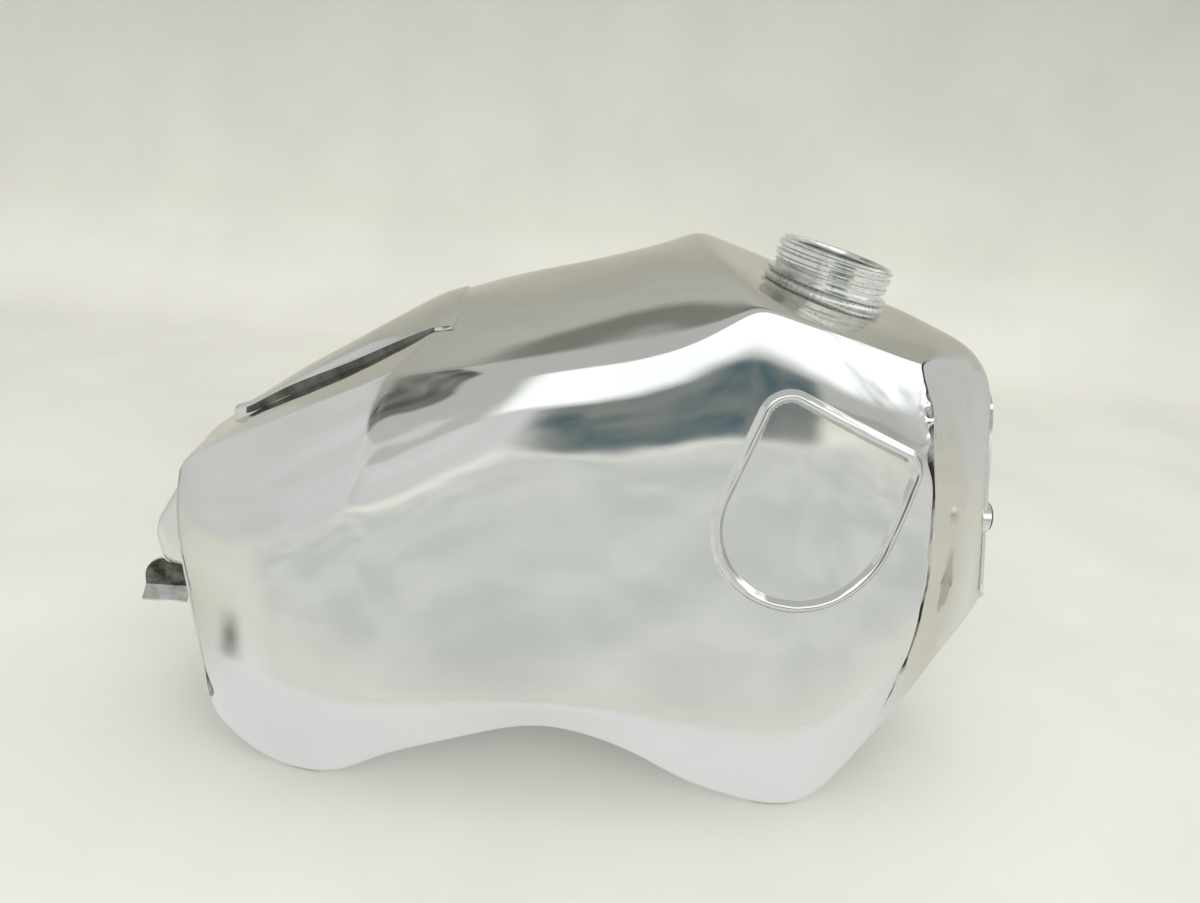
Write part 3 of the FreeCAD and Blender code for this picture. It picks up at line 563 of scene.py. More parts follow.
def shade_painted_aluminium():
    """Polished metal with a dark base colour that paints the shade on the step under the panel's lip: glossy
    and uneven.
    """
    material, tree, shader = new_material("shade_painted_aluminium", (0.12, 0.12, 0.11), 1.0, 0.12)
    place = coordinates(tree)
    patches = noise(tree, place, 55.0, 4.0, 0.6)
    colour_by(tree, shader, patches, (0.06, 0.06, 0.05), (0.2, 0.2, 0.185), 0.35, 0.7)
    roughness_by(tree, shader, patches, 0.08, 0.2)
    bump(tree, shader, noise(tree, place, 300.0, 3.0), 0.00003, 0.4)
    return material


POLISHED = polished_aluminium()
SHADE_PAINTED_METAL = shade_painted_aluminium()
SATIN = satin_aluminium()
MACHINED = machined_aluminium()
WELD = weld_aluminium()
HOOK = hook_metal()
RUBBER = rubber()


# ---- skin ----
NECK_TILT = math.radians(DIMS["neck_tilt"])
NECK_AXIS = np.array([math.sin(NECK_TILT), 0, math.cos(NECK_TILT)])
NECK_SIDE = np.array([math.cos(NECK_TILT), 0, -math.sin(NECK_TILT)])
NECK_FOOT = np.array([DIMS["neck_along"] + MID_OFFSET, 0, DIMS["neck_up"]])


def badge_circles():
    corner = DIMS["badge_corner_radius"]
    return [
        (DIMS["badge_main_along"] + MID_OFFSET, DIMS["badge_main_up"], DIMS["badge_main_radius"]),
        (DIMS["badge_front_along"] + MID_OFFSET, DIMS["badge_front_up"], corner),
        (DIMS["badge_rear_along"] + MID_OFFSET, DIMS["badge_rear_up"], corner),
    ]


def badge_outline(spacing=0.7):
    """Points of the badge outline in x and z, and the outward direction at each."""
    circles = badge_circles()
    touches = []
    for i, (x, z, radius) in enumerate(circles):
        nx, nz, next_radius = circles[(i + 1) % 3]
        heading = math.atan2(nz - z, nx - x)
        swing = math.acos((radius - next_radius) / math.hypot(nx - x, nz - z))
        touches.append(heading - swing)
    points = []
    outward = []
    for i, (x, z, radius) in enumerate(circles):
        start = touches[i - 1]
        end = touches[i]
        while end < start:
            end += 2 * math.pi
        angles = np.linspace(start, end, max(4, int(radius * (end - start) / spacing)))
        way = np.stack([np.cos(angles), np.sin(angles)], -1)
        points.append(np.array([x, z]) + way * radius)
        outward.append(way)
        nx, nz, next_radius = circles[(i + 1) % 3]
        last = np.array([x, z]) + way[-1] * radius
        goal = np.array([nx, nz]) + way[-1] * next_radius
        count = max(3, int(np.linalg.norm(goal - last) / spacing))
        points.append(last + (goal - last) * (np.arange(1, count) / count)[:, None])
        outward.append(np.repeat(way[-1:], count - 1, 0))
    return np.concatenate(points), np.concatenate(outward)


BADGE_POINTS, BADGE_OUTWARD = badge_outline()


def badge_distance(x, z):
    """Signed distance to the badge outline in the side view, negative inside."""
    flat = np.stack([x.ravel(), z.ravel()], -1)
    low = BADGE_POINTS.min(0) - 12
    high = BADGE_POINTS.max(0) + 12
    near = np.all((flat > low) & (flat < high), 1)
    result = np.full(len(flat), 99.0)
    close = flat[near]
    found = []
    for block in np.array_split(close, max(1, len(close) // 4000)):
        gap = block[:, None] - BADGE_POINTS[None, ::2]
        nearest = (gap**2).sum(-1).argmin(1)
        rows = np.arange(len(block))
        found.append((gap[rows, nearest] * BADGE_OUTWARD[::2][nearest]).sum(-1))
    result[near] = np.concatenate(found)
    return result.reshape(x.shape)


def smooth_step(value, low, high):
    t = np.clip((value - low) / (high - low), 0, 1)
    return t * t * (3 - 2 * t)


# Height, wavelengths and seed of each size of wave.
SHEET_WAVES = [(0.22, (80, 160), 11), (0.05, (35, 60), 12), (0.012, (12, 24), 5)]
# Reach of a weld lump along x, y and z.
LUMP_SIZE = np.array([5.0, 6.0, 13.0])


def sheet_waves(points):
    """What hammer and wheel leave in the sheet: long soft waves and a little short ripple."""
    long, middle, short = (height * waves(points, sizes, seed) for height, sizes, seed in SHEET_WAVES)
    return long + middle + short


def skin_relief(points):
    """How far the finished skin stands off the drawn one: waves, badge recess and weld lumps."""
    sheet = sheet_waves(points)
    distance = badge_distance(points[..., 0], points[..., 2])
    flank = np.abs(points[..., 1]) > 60
    recess = np.where(flank, smooth_step(-distance, 0.0, 2.5), 0) * DIMS["badge_recess"]
    spot = np.array([DIMS["weld_spot_along"] + MID_OFFSET, -DIMS["weld_spot_across"], DIMS["weld_spot_up"]])
    mirrored = spot * np.array([1, -1, 1])
    lump = 0
    for centre in (spot, mirrored):
        gap = (points - centre) / LUMP_SIZE
        lump = lump + np.exp(-(gap**2).sum(-1))
    rough = 0.9 + 0.9 * waves(points, (5, 9), 3)
    return sheet - recess + lump * rough * 0.8


# Spacing of the skin's points along and round the tank.
SKIN_SPACING = (1.65, 1.9)


def nearest(values, goal):
    return int(np.argmin(abs(values - goal)))


def make_skin():
    us, vs = (samples(SKIN, axis, spacing) for axis, spacing in enumerate(SKIN_SPACING))
    points = surface(SKIN, us, vs)
    normals = grid_normals(points, True)
    points = points + normals * skin_relief(points)[..., None]
    normals = grid_normals(points, True)
    middle = (points[:-1, :-1] + points[1:, 1:]) / 2
    gap = middle - NECK_FOOT
    along = gap @ NECK_AXIS
    radius = np.linalg.norm(gap - along[..., None] * NECK_AXIS, axis=-1)
    neck_hole = (radius < (DIMS["neck_bore_radius"] + DIMS["neck_tube_radius"]) / 2) & (np.abs(along) < 12)
    cup_hole = np.zeros_like(neck_hole)
    for side in (-1, 1):
        away = np.hypot(middle[..., 1] - side * DIMS["cup_across"], middle[..., 2] - DIMS["cup_up"])
        cup_hole |= (away < DIMS["cup_radius"] - 0.5) & (middle[..., 0] > 200)
    keep = ~(neck_hole | cup_hole)
    outer, inner, edge = COLUMN["foot_outer"], COLUMN["foot_inner"], COLUMN["roof_edge"]
    front = RING["front_edge"]
    polished = (POLISHED, "polished_aluminium")
    brushed = (SATIN, "brushed_aluminium")
    panels = [
        ("right_side_shell", polished, (0, front), (0, outer)),
        ("right_nose_panel", polished, (front, LAST_RING), (0, outer)),
        ("right_lobe_floor", polished, (0, LAST_RING), (outer, inner)),
        ("right_tunnel_wall", brushed, (0, LAST_RING), (inner, edge)),
        ("tunnel_roof", brushed, (0, LAST_RING), (edge, COLUMNS - edge)),
        ("left_tunnel_wall", brushed, (0, LAST_RING), (COLUMNS - edge, COLUMNS - inner)),
        ("left_lobe_floor", polished, (0, LAST_RING), (COLUMNS - inner, COLUMNS - outer)),
        ("left_nose_panel", polished, (front, LAST_RING), (COLUMNS - outer, COLUMNS)),
        ("left_side_shell", polished, (0, front), (COLUMNS - outer, COLUMNS)),
    ]
    for name, (material, slot), rings, columns in panels:
        a, b = (nearest(us, ring) for ring in rings)
        c, d = (nearest(vs, column) for column in columns)
        block = points[a : b + 1, c : d + 1]
        faces = grid_faces(b - a + 1, d - c + 1, keep[a:b, c:d])
        piece = add_mesh("skin_" + name, block, faces, material, normals[a : b + 1, c : d + 1])
        as_piece(piece, slot, name)


make_skin()


# ---- badge beads ----
def skin_under(x, z, side):
    """Skin points and outward normals on one flank under given x and z."""
    us = np.linspace(RING["rise"], RING["front_edge"], 60)
    vs = np.linspace(COLUMN["shoulder"], COLUMN["band"], 60)
    coarse = surface(SKIN, us, vs)
    flat = coarse.reshape(-1, 3)
    u = np.empty(len(x))
    v = np.empty(len(x))
    for block in np.array_split(np.arange(len(x)), max(1, len(x) // 2000)):
        gap = (flat[None, :, 0] - x[block, None]) ** 2 + (flat[None, :, 2] - z[block, None]) ** 2
        best = gap.argmin(1)
        u[block] = us[best // len(vs)]
        v[block] = vs[best % len(vs)]
    step = 1e-3
    for _ in range(6):
        here = surface_at(SKIN, u, v)
        du = (surface_at(SKIN, u + step, v) - here) / step
        dv = (surface_at(SKIN, u, v + step) - here) / step
        ex, ez = x - here[:, 0], z - here[:, 2]
        det = du[:, 0] * dv[:, 2] - dv[:, 0] * du[:, 2]
        u = u + (ex * dv[:, 2] - dv[:, 0] * ez) / det
        v = v + (du[:, 0] * ez - ex * du[:, 2]) / det
    here = surface_at(SKIN, u, v)
    normal = np.cross(dv, du)
    normal /= np.linalg.norm(normal, axis=-1, keepdims=True)
    here = here + normal * sheet_waves(here)[:, None]
    flip = np.array([1, side, 1])
    return here * flip, normal * flip


def make_bead(name, side):
    """The raised rib of the badge frame: a rounded section swept round the outline on the skin."""
    half = DIMS["badge_bead_width"] / 2
    across = np.linspace(-1, 1, 19)
    ring = BADGE_POINTS[:, None] + BADGE_OUTWARD[:, None] * (across * half)[None, :, None]
    count = len(BADGE_POINTS)
    points, normals = skin_under(ring[..., 0].ravel(), ring[..., 1].ravel(), side)
    wobble = waves(points, (9, 24), 21).reshape(count, -1)
    profile = DIMS["badge_bead_height"] * np.cos(across * math.pi / 2) ** 1.4
    inner_drop = -DIMS["badge_recess"] * np.clip(-across, 0, 1) ** 3
    height = (profile + inner_drop)[None, :] * (1 + 0.05 * wobble) - 0.06
    points = points.reshape(count, -1, 3) + normals.reshape(count, -1, 3) * height[..., None]
    points = np.concatenate([points, points[:1]])
    faces = grid_faces(count + 1, len(across))
    if side > 0:
        faces = faces[:, ::-1]
    piece = add_mesh("bead_" + name, points, faces, POLISHED)
    as_piece(piece, "polished_aluminium", name)


make_bead("right_badge_bead", 1)
make_bead("left_badge_bead", -1)


# ---- seam between shells and nose panels ----
def seam_material():
    """Hemmed edge of the sheet, its colour darkened in patches along it as painted shade, with bright bare
    metal between.
    """
    material, tree, shader = new_material("seam_metal", (0.2, 0.19, 0.17), 1.0, 0.25)
    place = coordinates(tree)
    bare_metal_patches = noise(tree, coordinates(tree, (1.0, 1.0, 0.5)), 75.0, 3.0, 0.6)
    # The near-black end of this colour is painted shade along the seam.
    colour_by(tree, shader, bare_metal_patches, (0.045, 0.04, 0.034), (0.62, 0.62, 0.6), 0.46, 0.62)
    roughness_by(tree, shader, bare_metal_patches, 0.5, 0.12)
    bump(tree, shader, noise(tree, place, 600.0, 4.0), 0.0001, 0.6)
    return material


SEAM = seam_material()
# How far the seams' edges lie under the skin.
SUNK = 0.12


def make_seam(name, side, ring, first, last, foot_up, set_in):
    """A thin hemmed ridge along a ring between two columns, fuller at its weld spot and at its foot.

    A seam that is set in starts on its ring and lies ahead of it. The others straddle theirs."""
    count = 420
    vs = np.linspace(first, last, count)
    step = 1e-3 if ring < 1 else -1e-3
    edge = surface_at(SKIN, np.full_like(vs, ring), vs)
    ahead = (surface_at(SKIN, np.full_like(vs, ring + step), vs) - edge) / step
    speed = np.linalg.norm(ahead, axis=-1)
    height = edge[:, 2]
    run = 0.5 + 0.5 * waves(edge, (14, 40), 31)
    foot = np.exp(-(((height - foot_up) / 9) ** 2))
    top = np.exp(-(((height - DIMS["weld_spot_up"]) / 9) ** 2))
    half = 0.85 + 0.35 * run + 2.4 * foot + 1.2 * top
    ends = smooth_step(np.minimum(np.arange(count), count - 1 - np.arange(count)), 0, 30)
    across = np.linspace(-1, 1, 11)
    rows = []
    for a in across:
        shift = a * half * (0.25 + 0.75 * ends) + 0.35 * waves(edge, (20, 50), 33) + 1.4 * foot
        if set_in:
            shift = np.maximum(shift + half, 0)
        u = ring + shift / speed
        here = surface_at(SKIN, u, vs)
        du = (surface_at(SKIN, u + step, vs) - here) / step
        dv = (surface_at(SKIN, u, vs + step) - here) / step
        normal = np.cross(dv, du)
        normal /= np.linalg.norm(normal, axis=-1, keepdims=True)
        rise = (0.55 + 0.25 * run + 0.8 * top) * math.cos(a * math.pi / 2) ** 0.7
        lift = sheet_waves(here) + ends * rise - SUNK
        rows.append(here + normal * lift[:, None])
    points = np.array(rows) * np.array([1, side, 1])
    faces = grid_faces(len(across), count)
    if side < 0:
        faces = faces[:, ::-1]
    piece = add_mesh("seam_" + name, points, faces, SEAM)
    as_piece(piece, "weld_aluminium")


for side_name, side in (("right", 1), ("left", -1)):
    span = (COLUMN["crown_outer"] + 0.5, COLUMN["foot_outer"] - 1.3)
    foot_up = DIMS["front_seam_foot_up"]
    make_seam("front_" + side_name, side, RING["front_edge"], *span, foot_up, False)
    span = (COLUMN["flank_top"], COLUMN["foot_outer"] - 0.3)
    make_seam("tail_" + side_name, side, 0, *span, DIMS["tail_seam_foot_up"], True)


# ---- raised panel at the seat's tail ----
def make_tail_panel():
    lines = []
    for x, foot, edge, foot_z, edge_z, crown_z in TAIL_PANEL:
        crown = np.array([x, 0, crown_z], float)
        brow = np.array([x, -0.6 * edge, crown_z + 0.25 * (edge_z - crown_z)])
        rim = np.array([x, -edge, edge_z], float)
        base = np.array([x, -foot, foot_z], float)
        soft = DIMS["tail_panel_crease"]
        half = [crown, brow, between(rim, brow, soft), rim, between(rim, base, soft), base]
        half = [p + np.array([MID_OFFSET, 0, 0]) for p in half]
        lines.append([p * np.array([1, -1, 1]) for p in half[:0:-1]] + half)
    grid = with_ends(np.array(lines))
    grid = np.concatenate([2 * grid[:, :1] - grid[:, 1:2], grid, 2 * grid[:, -1:] - grid[:, -2:-1]], 1)
    us, vs = samples(grid, 0, 1.2), samples(grid, 1, 0.9, 6)
    points = surface(grid, us, vs)
    drop = np.array([0, 0, -9.0])
    side_a, side_b = points[:, :1] + drop, points[:, -1:] + drop
    points = np.concatenate([side_a, points, side_b], 1)
    tail = points[:1] + np.array([0.3, 0, 0]) + drop * 0.8
    front = points[-1:] + np.array([2.5, 0, 0]) + drop * 0.3
    points = np.concatenate([tail, points, front, front + np.array([2.5, 0, 0]) + drop * 0.6], 0)
    relief = 0.05 * waves(points, (25, 50), 8)
    points = points + np.stack([0 * relief, 0 * relief, relief], -1)
    faces = grid_faces(points.shape[0], points.shape[1])
    piece = add_mesh("panel_seat_tail", points, faces, POLISHED)
    # The second slot holds the painted shade of the step under the panel's lip.
    piece.data.materials.append(SHADE_PAINTED_METAL)
    u = np.concatenate([[-1], us[:-1], [99] * 3])
    v = np.concatenate([[-1], (vs[:-1] + vs[1:]) / 2, [99]])
    # The step's faces get the painted shade. The closing rows, at -1 and 99, have no place in the net and
    # stay bright.
    reach, last = DIMS["tail_panel_shade_reach"], len(lines[0]) - 1
    step = (u > 0.9) & (u < 7.2)
    side = ((v > -0.5) & (v < reach)) | ((v > last - reach) & (v < last + 1))
    dark = step[: points.shape[0] - 1, None] & side[None, : points.shape[1] - 1]
    piece.data.polygons.foreach_set("material_index", dark.astype(int).ravel())
    as_piece(piece, "polished_aluminium", "seat_tail_panel")


make_tail_panel()


# ---- rear pan ----
def end_frame(name):
    """Origin, across, out and up directions of an end plate's outer face."""
    foot, lean = END_PLANES[name]
    toward = -1 if name == "tail_end" else 1
    out = np.array([toward, 0, -toward * lean])
    out = out / np.linalg.norm(out)
    up = np.array([lean, 0, 1.0])
    up = up / np.linalg.norm(up)
    return np.array([foot + MID_OFFSET, 0, 0]) + out * WALL, np.array([0, 1.0, 0]), out, up


def rounded_rectangle(half, low, high, radius, steps=10):
    corners = [(half, high, 0), (-half, high, 90), (-half, low, 180), (half, low, 270)]
    line = []
    for x, z, start in corners:
        cx = x - math.copysign(radius, x)
        cz = z - radius if z == high else z + radius
        for angle in np.radians(np.linspace(start, start + 90, steps)):
            line.append((cx + radius * math.cos(angle), cz + radius * math.sin(angle)))
    return np.array(line)


def make_pan():
    origin, across, out, up = end_frame("tail_end")
    reach, corner = DIMS["pan_reach"], DIMS["pan_corner"]
    sections = [(-0.4, 0.0), (0.0, 0.0)]
    sections += [(share * (reach - corner), 0.0) for share in (0.15, 0.3, 0.45, 0.6, 0.75, 0.9)]
    for angle in np.linspace(0, 90, 14):
        turn = math.radians(angle)
        sections.append((reach - corner + corner * math.sin(turn), corner * (1 - math.cos(turn))))
    loops = []
    for height, inset in sections:
        share = max(0.0, height) / reach
        half = between(DIMS["pan_half_width"], DIMS["pan_tip_half_width"], share) - inset
        low = between(DIMS["pan_low"], DIMS["pan_tip_low"], share) + inset
        high = between(DIMS["pan_high"], DIMS["pan_tip_high"], share) - inset
        loop = rounded_rectangle(half, low, high, max(1.5, corner - inset * 0.75))
        loops.append([origin + across * a + out * height + up * b for a, b in loop])
    points = np.array(loops)
    count = points.shape[1]
    points = np.concatenate([points, points[:, :1]], 1)
    relief = 0.08 * waves(points, (18, 40), 4)
    points = points + out * relief[..., None]
    faces = list(grid_faces(points.shape[0], count + 1)[:, ::-1])
    last = (points.shape[0] - 1) * (count + 1)
    faces.append(list(range(last, last + count)))
    piece = add_mesh("pan_rear", points, faces, POLISHED)
    as_piece(piece, "polished_aluminium", "rear_tail_pan")


make_pan()


# ---- filler neck ----
def neck_points(rings, angles):
    """Points of a surface of revolution: rings are (height, radius) arrays that may vary with the angle."""
    way = np.cos(angles)[None, :, None] * NECK_SIDE + np.sin(angles)[None, :, None] * np.array([0, 1.0, 0])
    height, radius = rings
    return NECK_FOOT + height[..., None] * NECK_AXIS + radius[..., None] * way


def thread_profile(phase):
    """Height of the thread over its root for a phase of 0 to 1: a rounded trapezium crest."""
    return smooth_step(0.5 - np.abs(phase - 0.5), 0.12, 0.3)


def make_neck():
    angles = np.linspace(0, 2 * math.pi, 241)
    tube, crest = DIMS["neck_tube_radius"], DIMS["thread_radius"]
    top = DIMS["neck_height"]
    heights = np.linspace(-DIMS["neck_below_deck"], top - 0.5, 260)
    s, a = np.meshgrid(heights, angles, indexing="ij")
    start = DIMS["thread_first"] - 0.6
    phase = (s - start) / DIMS["thread_pitch"] - a / (2 * math.pi)
    zone = smooth_step(s, start - 0.3, start + 1.6) * (1 - smooth_step(s, top - 2.2, top - 0.8))
    radius = tube + (crest - tube) * thread_profile(phase % 1.0) * zone
    collar_low, collar_height = DIMS["collar_low"], DIMS["collar_height"]
    collar_top = collar_low + collar_height
    collar = smooth_step(s, collar_low - 1.3, collar_low + 0.5)
    collar = collar * (1 - smooth_step(s, collar_top - 0.7, collar_top + 0.5))
    radius = radius + (DIMS["collar_radius"] - tube) * collar
    outside = neck_points((s, radius), angles)
    lip = []
    bore = DIMS["neck_bore_radius"]
    middle, half = (tube + bore) / 2, (tube - bore) / 2
    for turn in np.radians(np.linspace(0, 180, 9)):
        lip.append((top - 0.5 + 0.5 * math.sin(turn), middle + half * math.cos(turn)))
    lip += [(height, bore) for height in (top - 3, 8, 0, -DIMS["neck_below_deck"])]
    lip = np.array(lip)
    ls = np.repeat(lip[:, :1], len(angles), 1)
    lr = np.repeat(lip[:, 1:], len(angles), 1)
    inside = neck_points((ls, lr), angles)
    points = np.concatenate([outside, inside])
    faces = grid_faces(points.shape[0], points.shape[1])
    piece = add_mesh("neck_filler", points, faces, MACHINED)
    as_piece(piece, "machined_aluminium", "filler_neck")


def make_neck_bead():
    """The weld round the neck: a rounded fillet with overlapping ripples."""
    angles = np.linspace(0, 2 * math.pi, 361)
    sides = np.linspace(-25, 112, 15)
    ripple = 1 + 0.015 * np.cos(angles * 62 + np.cos(angles * 3)) + 0.07 * np.cos(angles * 5 + 1.0)
    tube, foot = DIMS["neck_tube_radius"], DIMS["neck_bead_foot"]
    height = np.sin(np.radians(sides))[:, None] * DIMS["neck_bead_height"] * ripple[None, :] + 0.5
    radius = tube - 0.3 + np.cos(np.radians(sides))[:, None] * foot * ripple[None, :]
    radius = np.maximum(radius, tube - 0.4)
    points = neck_points((height, radius), angles)
    faces = grid_faces(points.shape[0], points.shape[1])
    piece = add_mesh("weld_neck", points, faces, WELD)
    as_piece(piece, "weld_aluminium", "neck_weld_bead")


make_neck()
make_neck_bead()


# ---- parts kept from the CAD model ----
def dress(node, material, bevel=0.0):
    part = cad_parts[node]
    for slot in part.material_slots:
        slot.material = material
    if bevel:
        edge = part.modifiers.new("edges", "BEVEL")
        edge.width = bevel
        edge.segments = 3
        edge.limit_method = "ANGLE"
        edge.angle_limit = math.radians(35)


dress("rear_end_panel", POLISHED)
dress("front_end_panel", POLISHED)
dress("petcock_boss", MACHINED, 0.0004)
dress("right_mount_cup", MACHINED)
dress("left_mount_cup", MACHINED)
dress("right_mount_bush", RUBBER)
dress("left_mount_bush", RUBBER)
dress("right_rear_hook", HOOK, 0.0006)
dress("left_rear_hook", HOOK, 0.0006)


# ---- stage ----
# Painted shade: how bright the floor's front edge and the wall's top are beside the rest.
FOREGROUND_SHADE = 0.9
UPPER_WALL_SHADE = 0.68


def floor_paint(name, colour):
    """Matt paint with faint wear, darkened towards the foreground and up the wall as painted shade."""
    material, tree, shader = new_material(name, colour, 0.0, 0.9)
    place = coordinates(tree)
    shade = noise(tree, place, 5.0, 4.0)
    worn = mix_colour(tree, shade, tuple(c * 0.95 for c in colour), colour, 0.4, 0.6)
    parts = tree.nodes.new("ShaderNodeSeparateXYZ")
    tree.links.new(place, parts.inputs["Vector"])
    # Painted shade: darker towards the front edge of the floor and up the wall.
    near = ramp(tree, parts.outputs["Y"], FOREGROUND_SHADE, 1.0, -0.5, -0.18)
    high = ramp(tree, parts.outputs["Z"], 1.0, UPPER_WALL_SHADE, 0.05, 0.6)
    both = tree.nodes.new("ShaderNodeMath")
    both.operation = "MULTIPLY"
    tree.links.new(near, both.inputs[0])
    tree.links.new(high, both.inputs[1])
    dim = tree.nodes.new("ShaderNodeVectorMath")
    dim.operation = "SCALE"
    tree.links.new(worn, dim.inputs[0])
    tree.links.new(both.outputs["Value"], dim.inputs["Scale"])
    tree.links.new(dim.outputs["Vector"], shader.inputs["Base Color"])
    return material


def make_backdrop():
    """Floor and back wall in one sheet with a curved sweep between them."""
    profile = [(-4.0, 0.0), (-1.0, 0.0)]
    profile += [(y, 0.0) for y in (-0.6, -0.3, 0.0, 0.3, 0.5)]
    sweep, back = 0.16, 0.98
    for angle in np.linspace(0, 90, 16):
        t = math.radians(angle)
        profile.append((back - sweep + sweep * math.sin(t), sweep - sweep * math.cos(t)))
    profile += [(back, 0.8), (back, 2.4)]
    rows = [[(x, y, z) for x in np.linspace(-4, 4, 9)] for y, z in profile]
    points = np.array(rows)
    mesh = bpy.data.meshes.new("backdrop")
    faces = grid_faces(points.shape[0], points.shape[1])
    mesh.from_pydata(points.reshape(-1, 3).tolist(), [], faces.tolist())
    mesh.polygons.foreach_set("use_smooth", [True] * len(mesh.polygons))
    mesh.materials.append(floor_paint("backdrop_paint", (0.80, 0.79, 0.745)))
    sheet = bpy.data.objects.new("backdrop", mesh)
    bpy.context.scene.collection.objects.link(sheet)


make_backdrop()
# Points along each side of a board.
CARD_STEPS = 25


def studio_card(name, near, across, up, colours, strength, soft, grain=0.0, lights=False):
    """An unseen board that shapes the reflections, fading out towards its borders.

    near is one corner and across and up are its sides. The colour runs between the two given ones in soft
    patches of the grain's scale."""
    near, across, up = (np.array(v, float) for v in (near, across, up))
    steps = np.linspace(0, 1, CARD_STEPS)
    s, t = np.meshgrid(steps, steps, indexing="ij")
    points = near + s[..., None] * across + t[..., None] * up
    mesh = bpy.data.meshes.new(name)
    mesh.from_pydata(points.reshape(-1, 3).tolist(), [], grid_faces(CARD_STEPS, CARD_STEPS).tolist())
    edge = [smooth_step(np.minimum(k, 1 - k), 0.0, width) for k, width in ((s, soft[0]), (t, soft[1]))]
    cover = mesh.attributes.new("cover", "FLOAT", "POINT")
    cover.data.foreach_set("value", (edge[0] * edge[1]).ravel())
    material = bpy.data.materials.new(name)
    material.use_nodes = True
    tree = material.node_tree
    tree.nodes.clear()
    light = tree.nodes.new("ShaderNodeEmission")
    light.inputs["Strength"].default_value = strength
    light.inputs["Color"].default_value = (*colours[0], 1)
    if grain:
        patches = noise(tree, coordinates(tree), grain, 4.0)
        tree.links.new(mix_colour(tree, patches, *colours, 0.38, 0.62), light.inputs["Color"])
    clear = tree.nodes.new("ShaderNodeBsdfTransparent")
    mask = tree.nodes.new("ShaderNodeAttribute")
    mask.attribute_name = "cover"
    blend = tree.nodes.new("ShaderNodeMixShader")
    output = tree.nodes.new("ShaderNodeOutputMaterial")
    tree.links.new(mask.outputs["Fac"], blend.inputs["Fac"])
    tree.links.new(clear.outputs["BSDF"], blend.inputs[1])
    tree.links.new(light.outputs["Emission"], blend.inputs[2])
    tree.links.new(blend.outputs["Shader"], output.inputs["Surface"])
    mesh.materials.append(material)
    board = bpy.data.objects.new(name, mesh)
    bpy.context.scene.collection.objects.link(board)
    board.visible_camera = False
    board.visible_shadow = False
    board.visible_diffuse = lights


TEAL = ((0.10, 0.155, 0.175), (0.27, 0.29, 0.27))
WHITE = ((0.97, 1.0, 0.985), (0.34, 0.35, 0.34))
WALL_PAINT = ((0.95, 0.97, 0.96), (0.87, 0.88, 0.85))
FLOOR_PAINT = ((0.87, 0.90, 0.85), (1.02, 1.05, 1.0))
SHADE = ((0.9, 0.88, 0.78), (2.4, 2.4, 2.3))
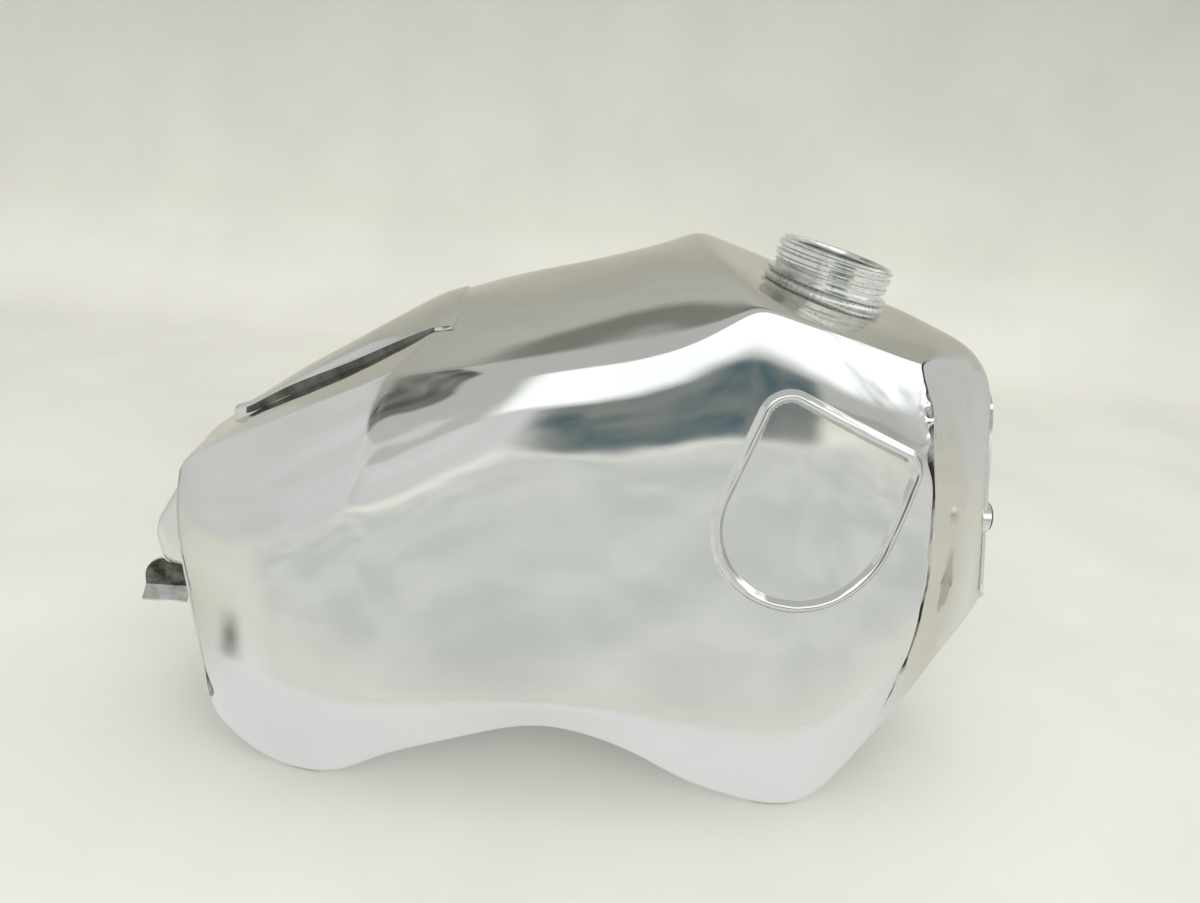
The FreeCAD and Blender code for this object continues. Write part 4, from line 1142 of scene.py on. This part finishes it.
# Name, near corner, across, up, colours, strength and width of the soft borders. Some have a grain, and one
# lights the floor.
CARDS = [
    ("room", (-0.24, -0.9, 0.0), (0.86, 0, 0), (0, 0, 0.335), TEAL, 1.0, (0.16, 0.1), 7.0),
    ("lamp_front", (-0.62, -1.15, 0.34), (2, 0, 0), (0, 0.25, 0.75), WHITE[:1], 1.35, (0.12, 0.14), 0, True),
    ("lamp_right", (1.15, -1.1, 0.34), (0, 1.7, 0), (-0.2, 0, 0.7), WHITE, 1.8, (0.12, 0.16), 2.2),
    ("wall_left", (-0.75, -0.95, 0.0), (0, 2.0, 0), (0, 0, 0.62), WALL_PAINT, 0.8, (0.06, 0.1), 3.0),
    ("wall_ahead", (-0.85, -0.96, 0.0), (0.72, 0, 0), (0, 0, 0.36), WALL_PAINT, 0.8, (0.12, 0.1), 3.0),
    ("wall_right", (0.85, -0.6, 0.0), (0, 1.6, 0), (0, 0, 0.42), WALL_PAINT, 0.76, (0.2, 0.25), 3.0),
    ("shade_left", (-0.95, -0.4, 0.6), (0, 0.8, 0), (0, 0, 0.66), SHADE, 0.13, (0.16, 0.16), 5.0),
    ("shade_above", (-0.9, 0.2, 1.2), (1.8, 0, 0), (0, 0.75, 0), SHADE[:1], 0.27, (0.3, 0.35)),
    ("shade_floor", (-1.0, -0.93, 0.0012), (2.1, 0, 0), (0, 0.79, 0), FLOOR_PAINT, 0.76, (0.25, 0.14), 9.0),
    ("glow_floor", (-0.34, -0.16, 0.0015), (0.66, 0, 0), (0, 0.26, 0), WALL_PAINT[:1], 0.93, (0.12, 0.2)),
    ("shade_foot", (-0.37, -0.11, 0.0018), (0.11, 0, 0), (0, 0.07, 0), SHADE[:1], 0.35, (0.5, 0.5)),
]
for board in CARDS:
    studio_card(*board)

ROOM_LIGHT = (0.93, 0.94, 0.90, 1)
ROOM_STRENGTH = 0.6
world = bpy.data.worlds.new("studio")
world.use_nodes = True
world.node_tree.nodes["Background"].inputs["Color"].default_value = ROOM_LIGHT
world.node_tree.nodes["Background"].inputs["Strength"].default_value = ROOM_STRENGTH
bpy.context.scene.world = world


def soft_lamp(name, place, aim, size, power):
    light = bpy.data.lights.new(name, "AREA")
    light.shape = "RECTANGLE"
    light.size, light.size_y = size
    light.energy = power
    light.color = (1.0, 0.99, 0.965)
    lamp = bpy.data.objects.new(name, light)
    lamp.location = place
    lamp.rotation_mode = "QUATERNION"
    lamp.rotation_quaternion = (Vector(aim) - Vector(place)).to_track_quat("-Z", "Y")
    lamp.visible_camera = False
    lamp.visible_glossy = False
    bpy.context.scene.collection.objects.link(lamp)


soft_lamp("lamp_above", (0.1, -0.3, 2.3), (0, -0.1, 0), (3.4, 2.6), 30.0)
soft_lamp("lamp_low", (0.1, -1.3, 0.75), (0, -0.1, 0.05), (2.2, 0.9), 13.0)
bpy.context.scene.view_settings.view_transform = "Standard"

# ---- camera ----
LENS = 29.7
SENSOR_WIDTH = 36
CAMERA_PLACE = (-0.0175 + MID_OFFSET * MM, -0.532, 0.380)
sight = bpy.data.cameras.new("camera")
sight.lens = LENS
sight.sensor_width = SENSOR_WIDTH
camera = bpy.data.objects.new("camera", sight)
right = Vector((0.9951, -0.033, 0.0926))
down = Vector((0.0746, -0.359, -0.9296))
ahead = Vector((0.0639, 0.9327, -0.3568))
turn = Matrix((right, -down, -ahead)).transposed()
camera.matrix_world = Matrix.Translation(Vector(CAMERA_PLACE)) @ turn.to_4x4()
bpy.context.scene.collection.objects.link(camera)
bpy.context.scene.camera = camera
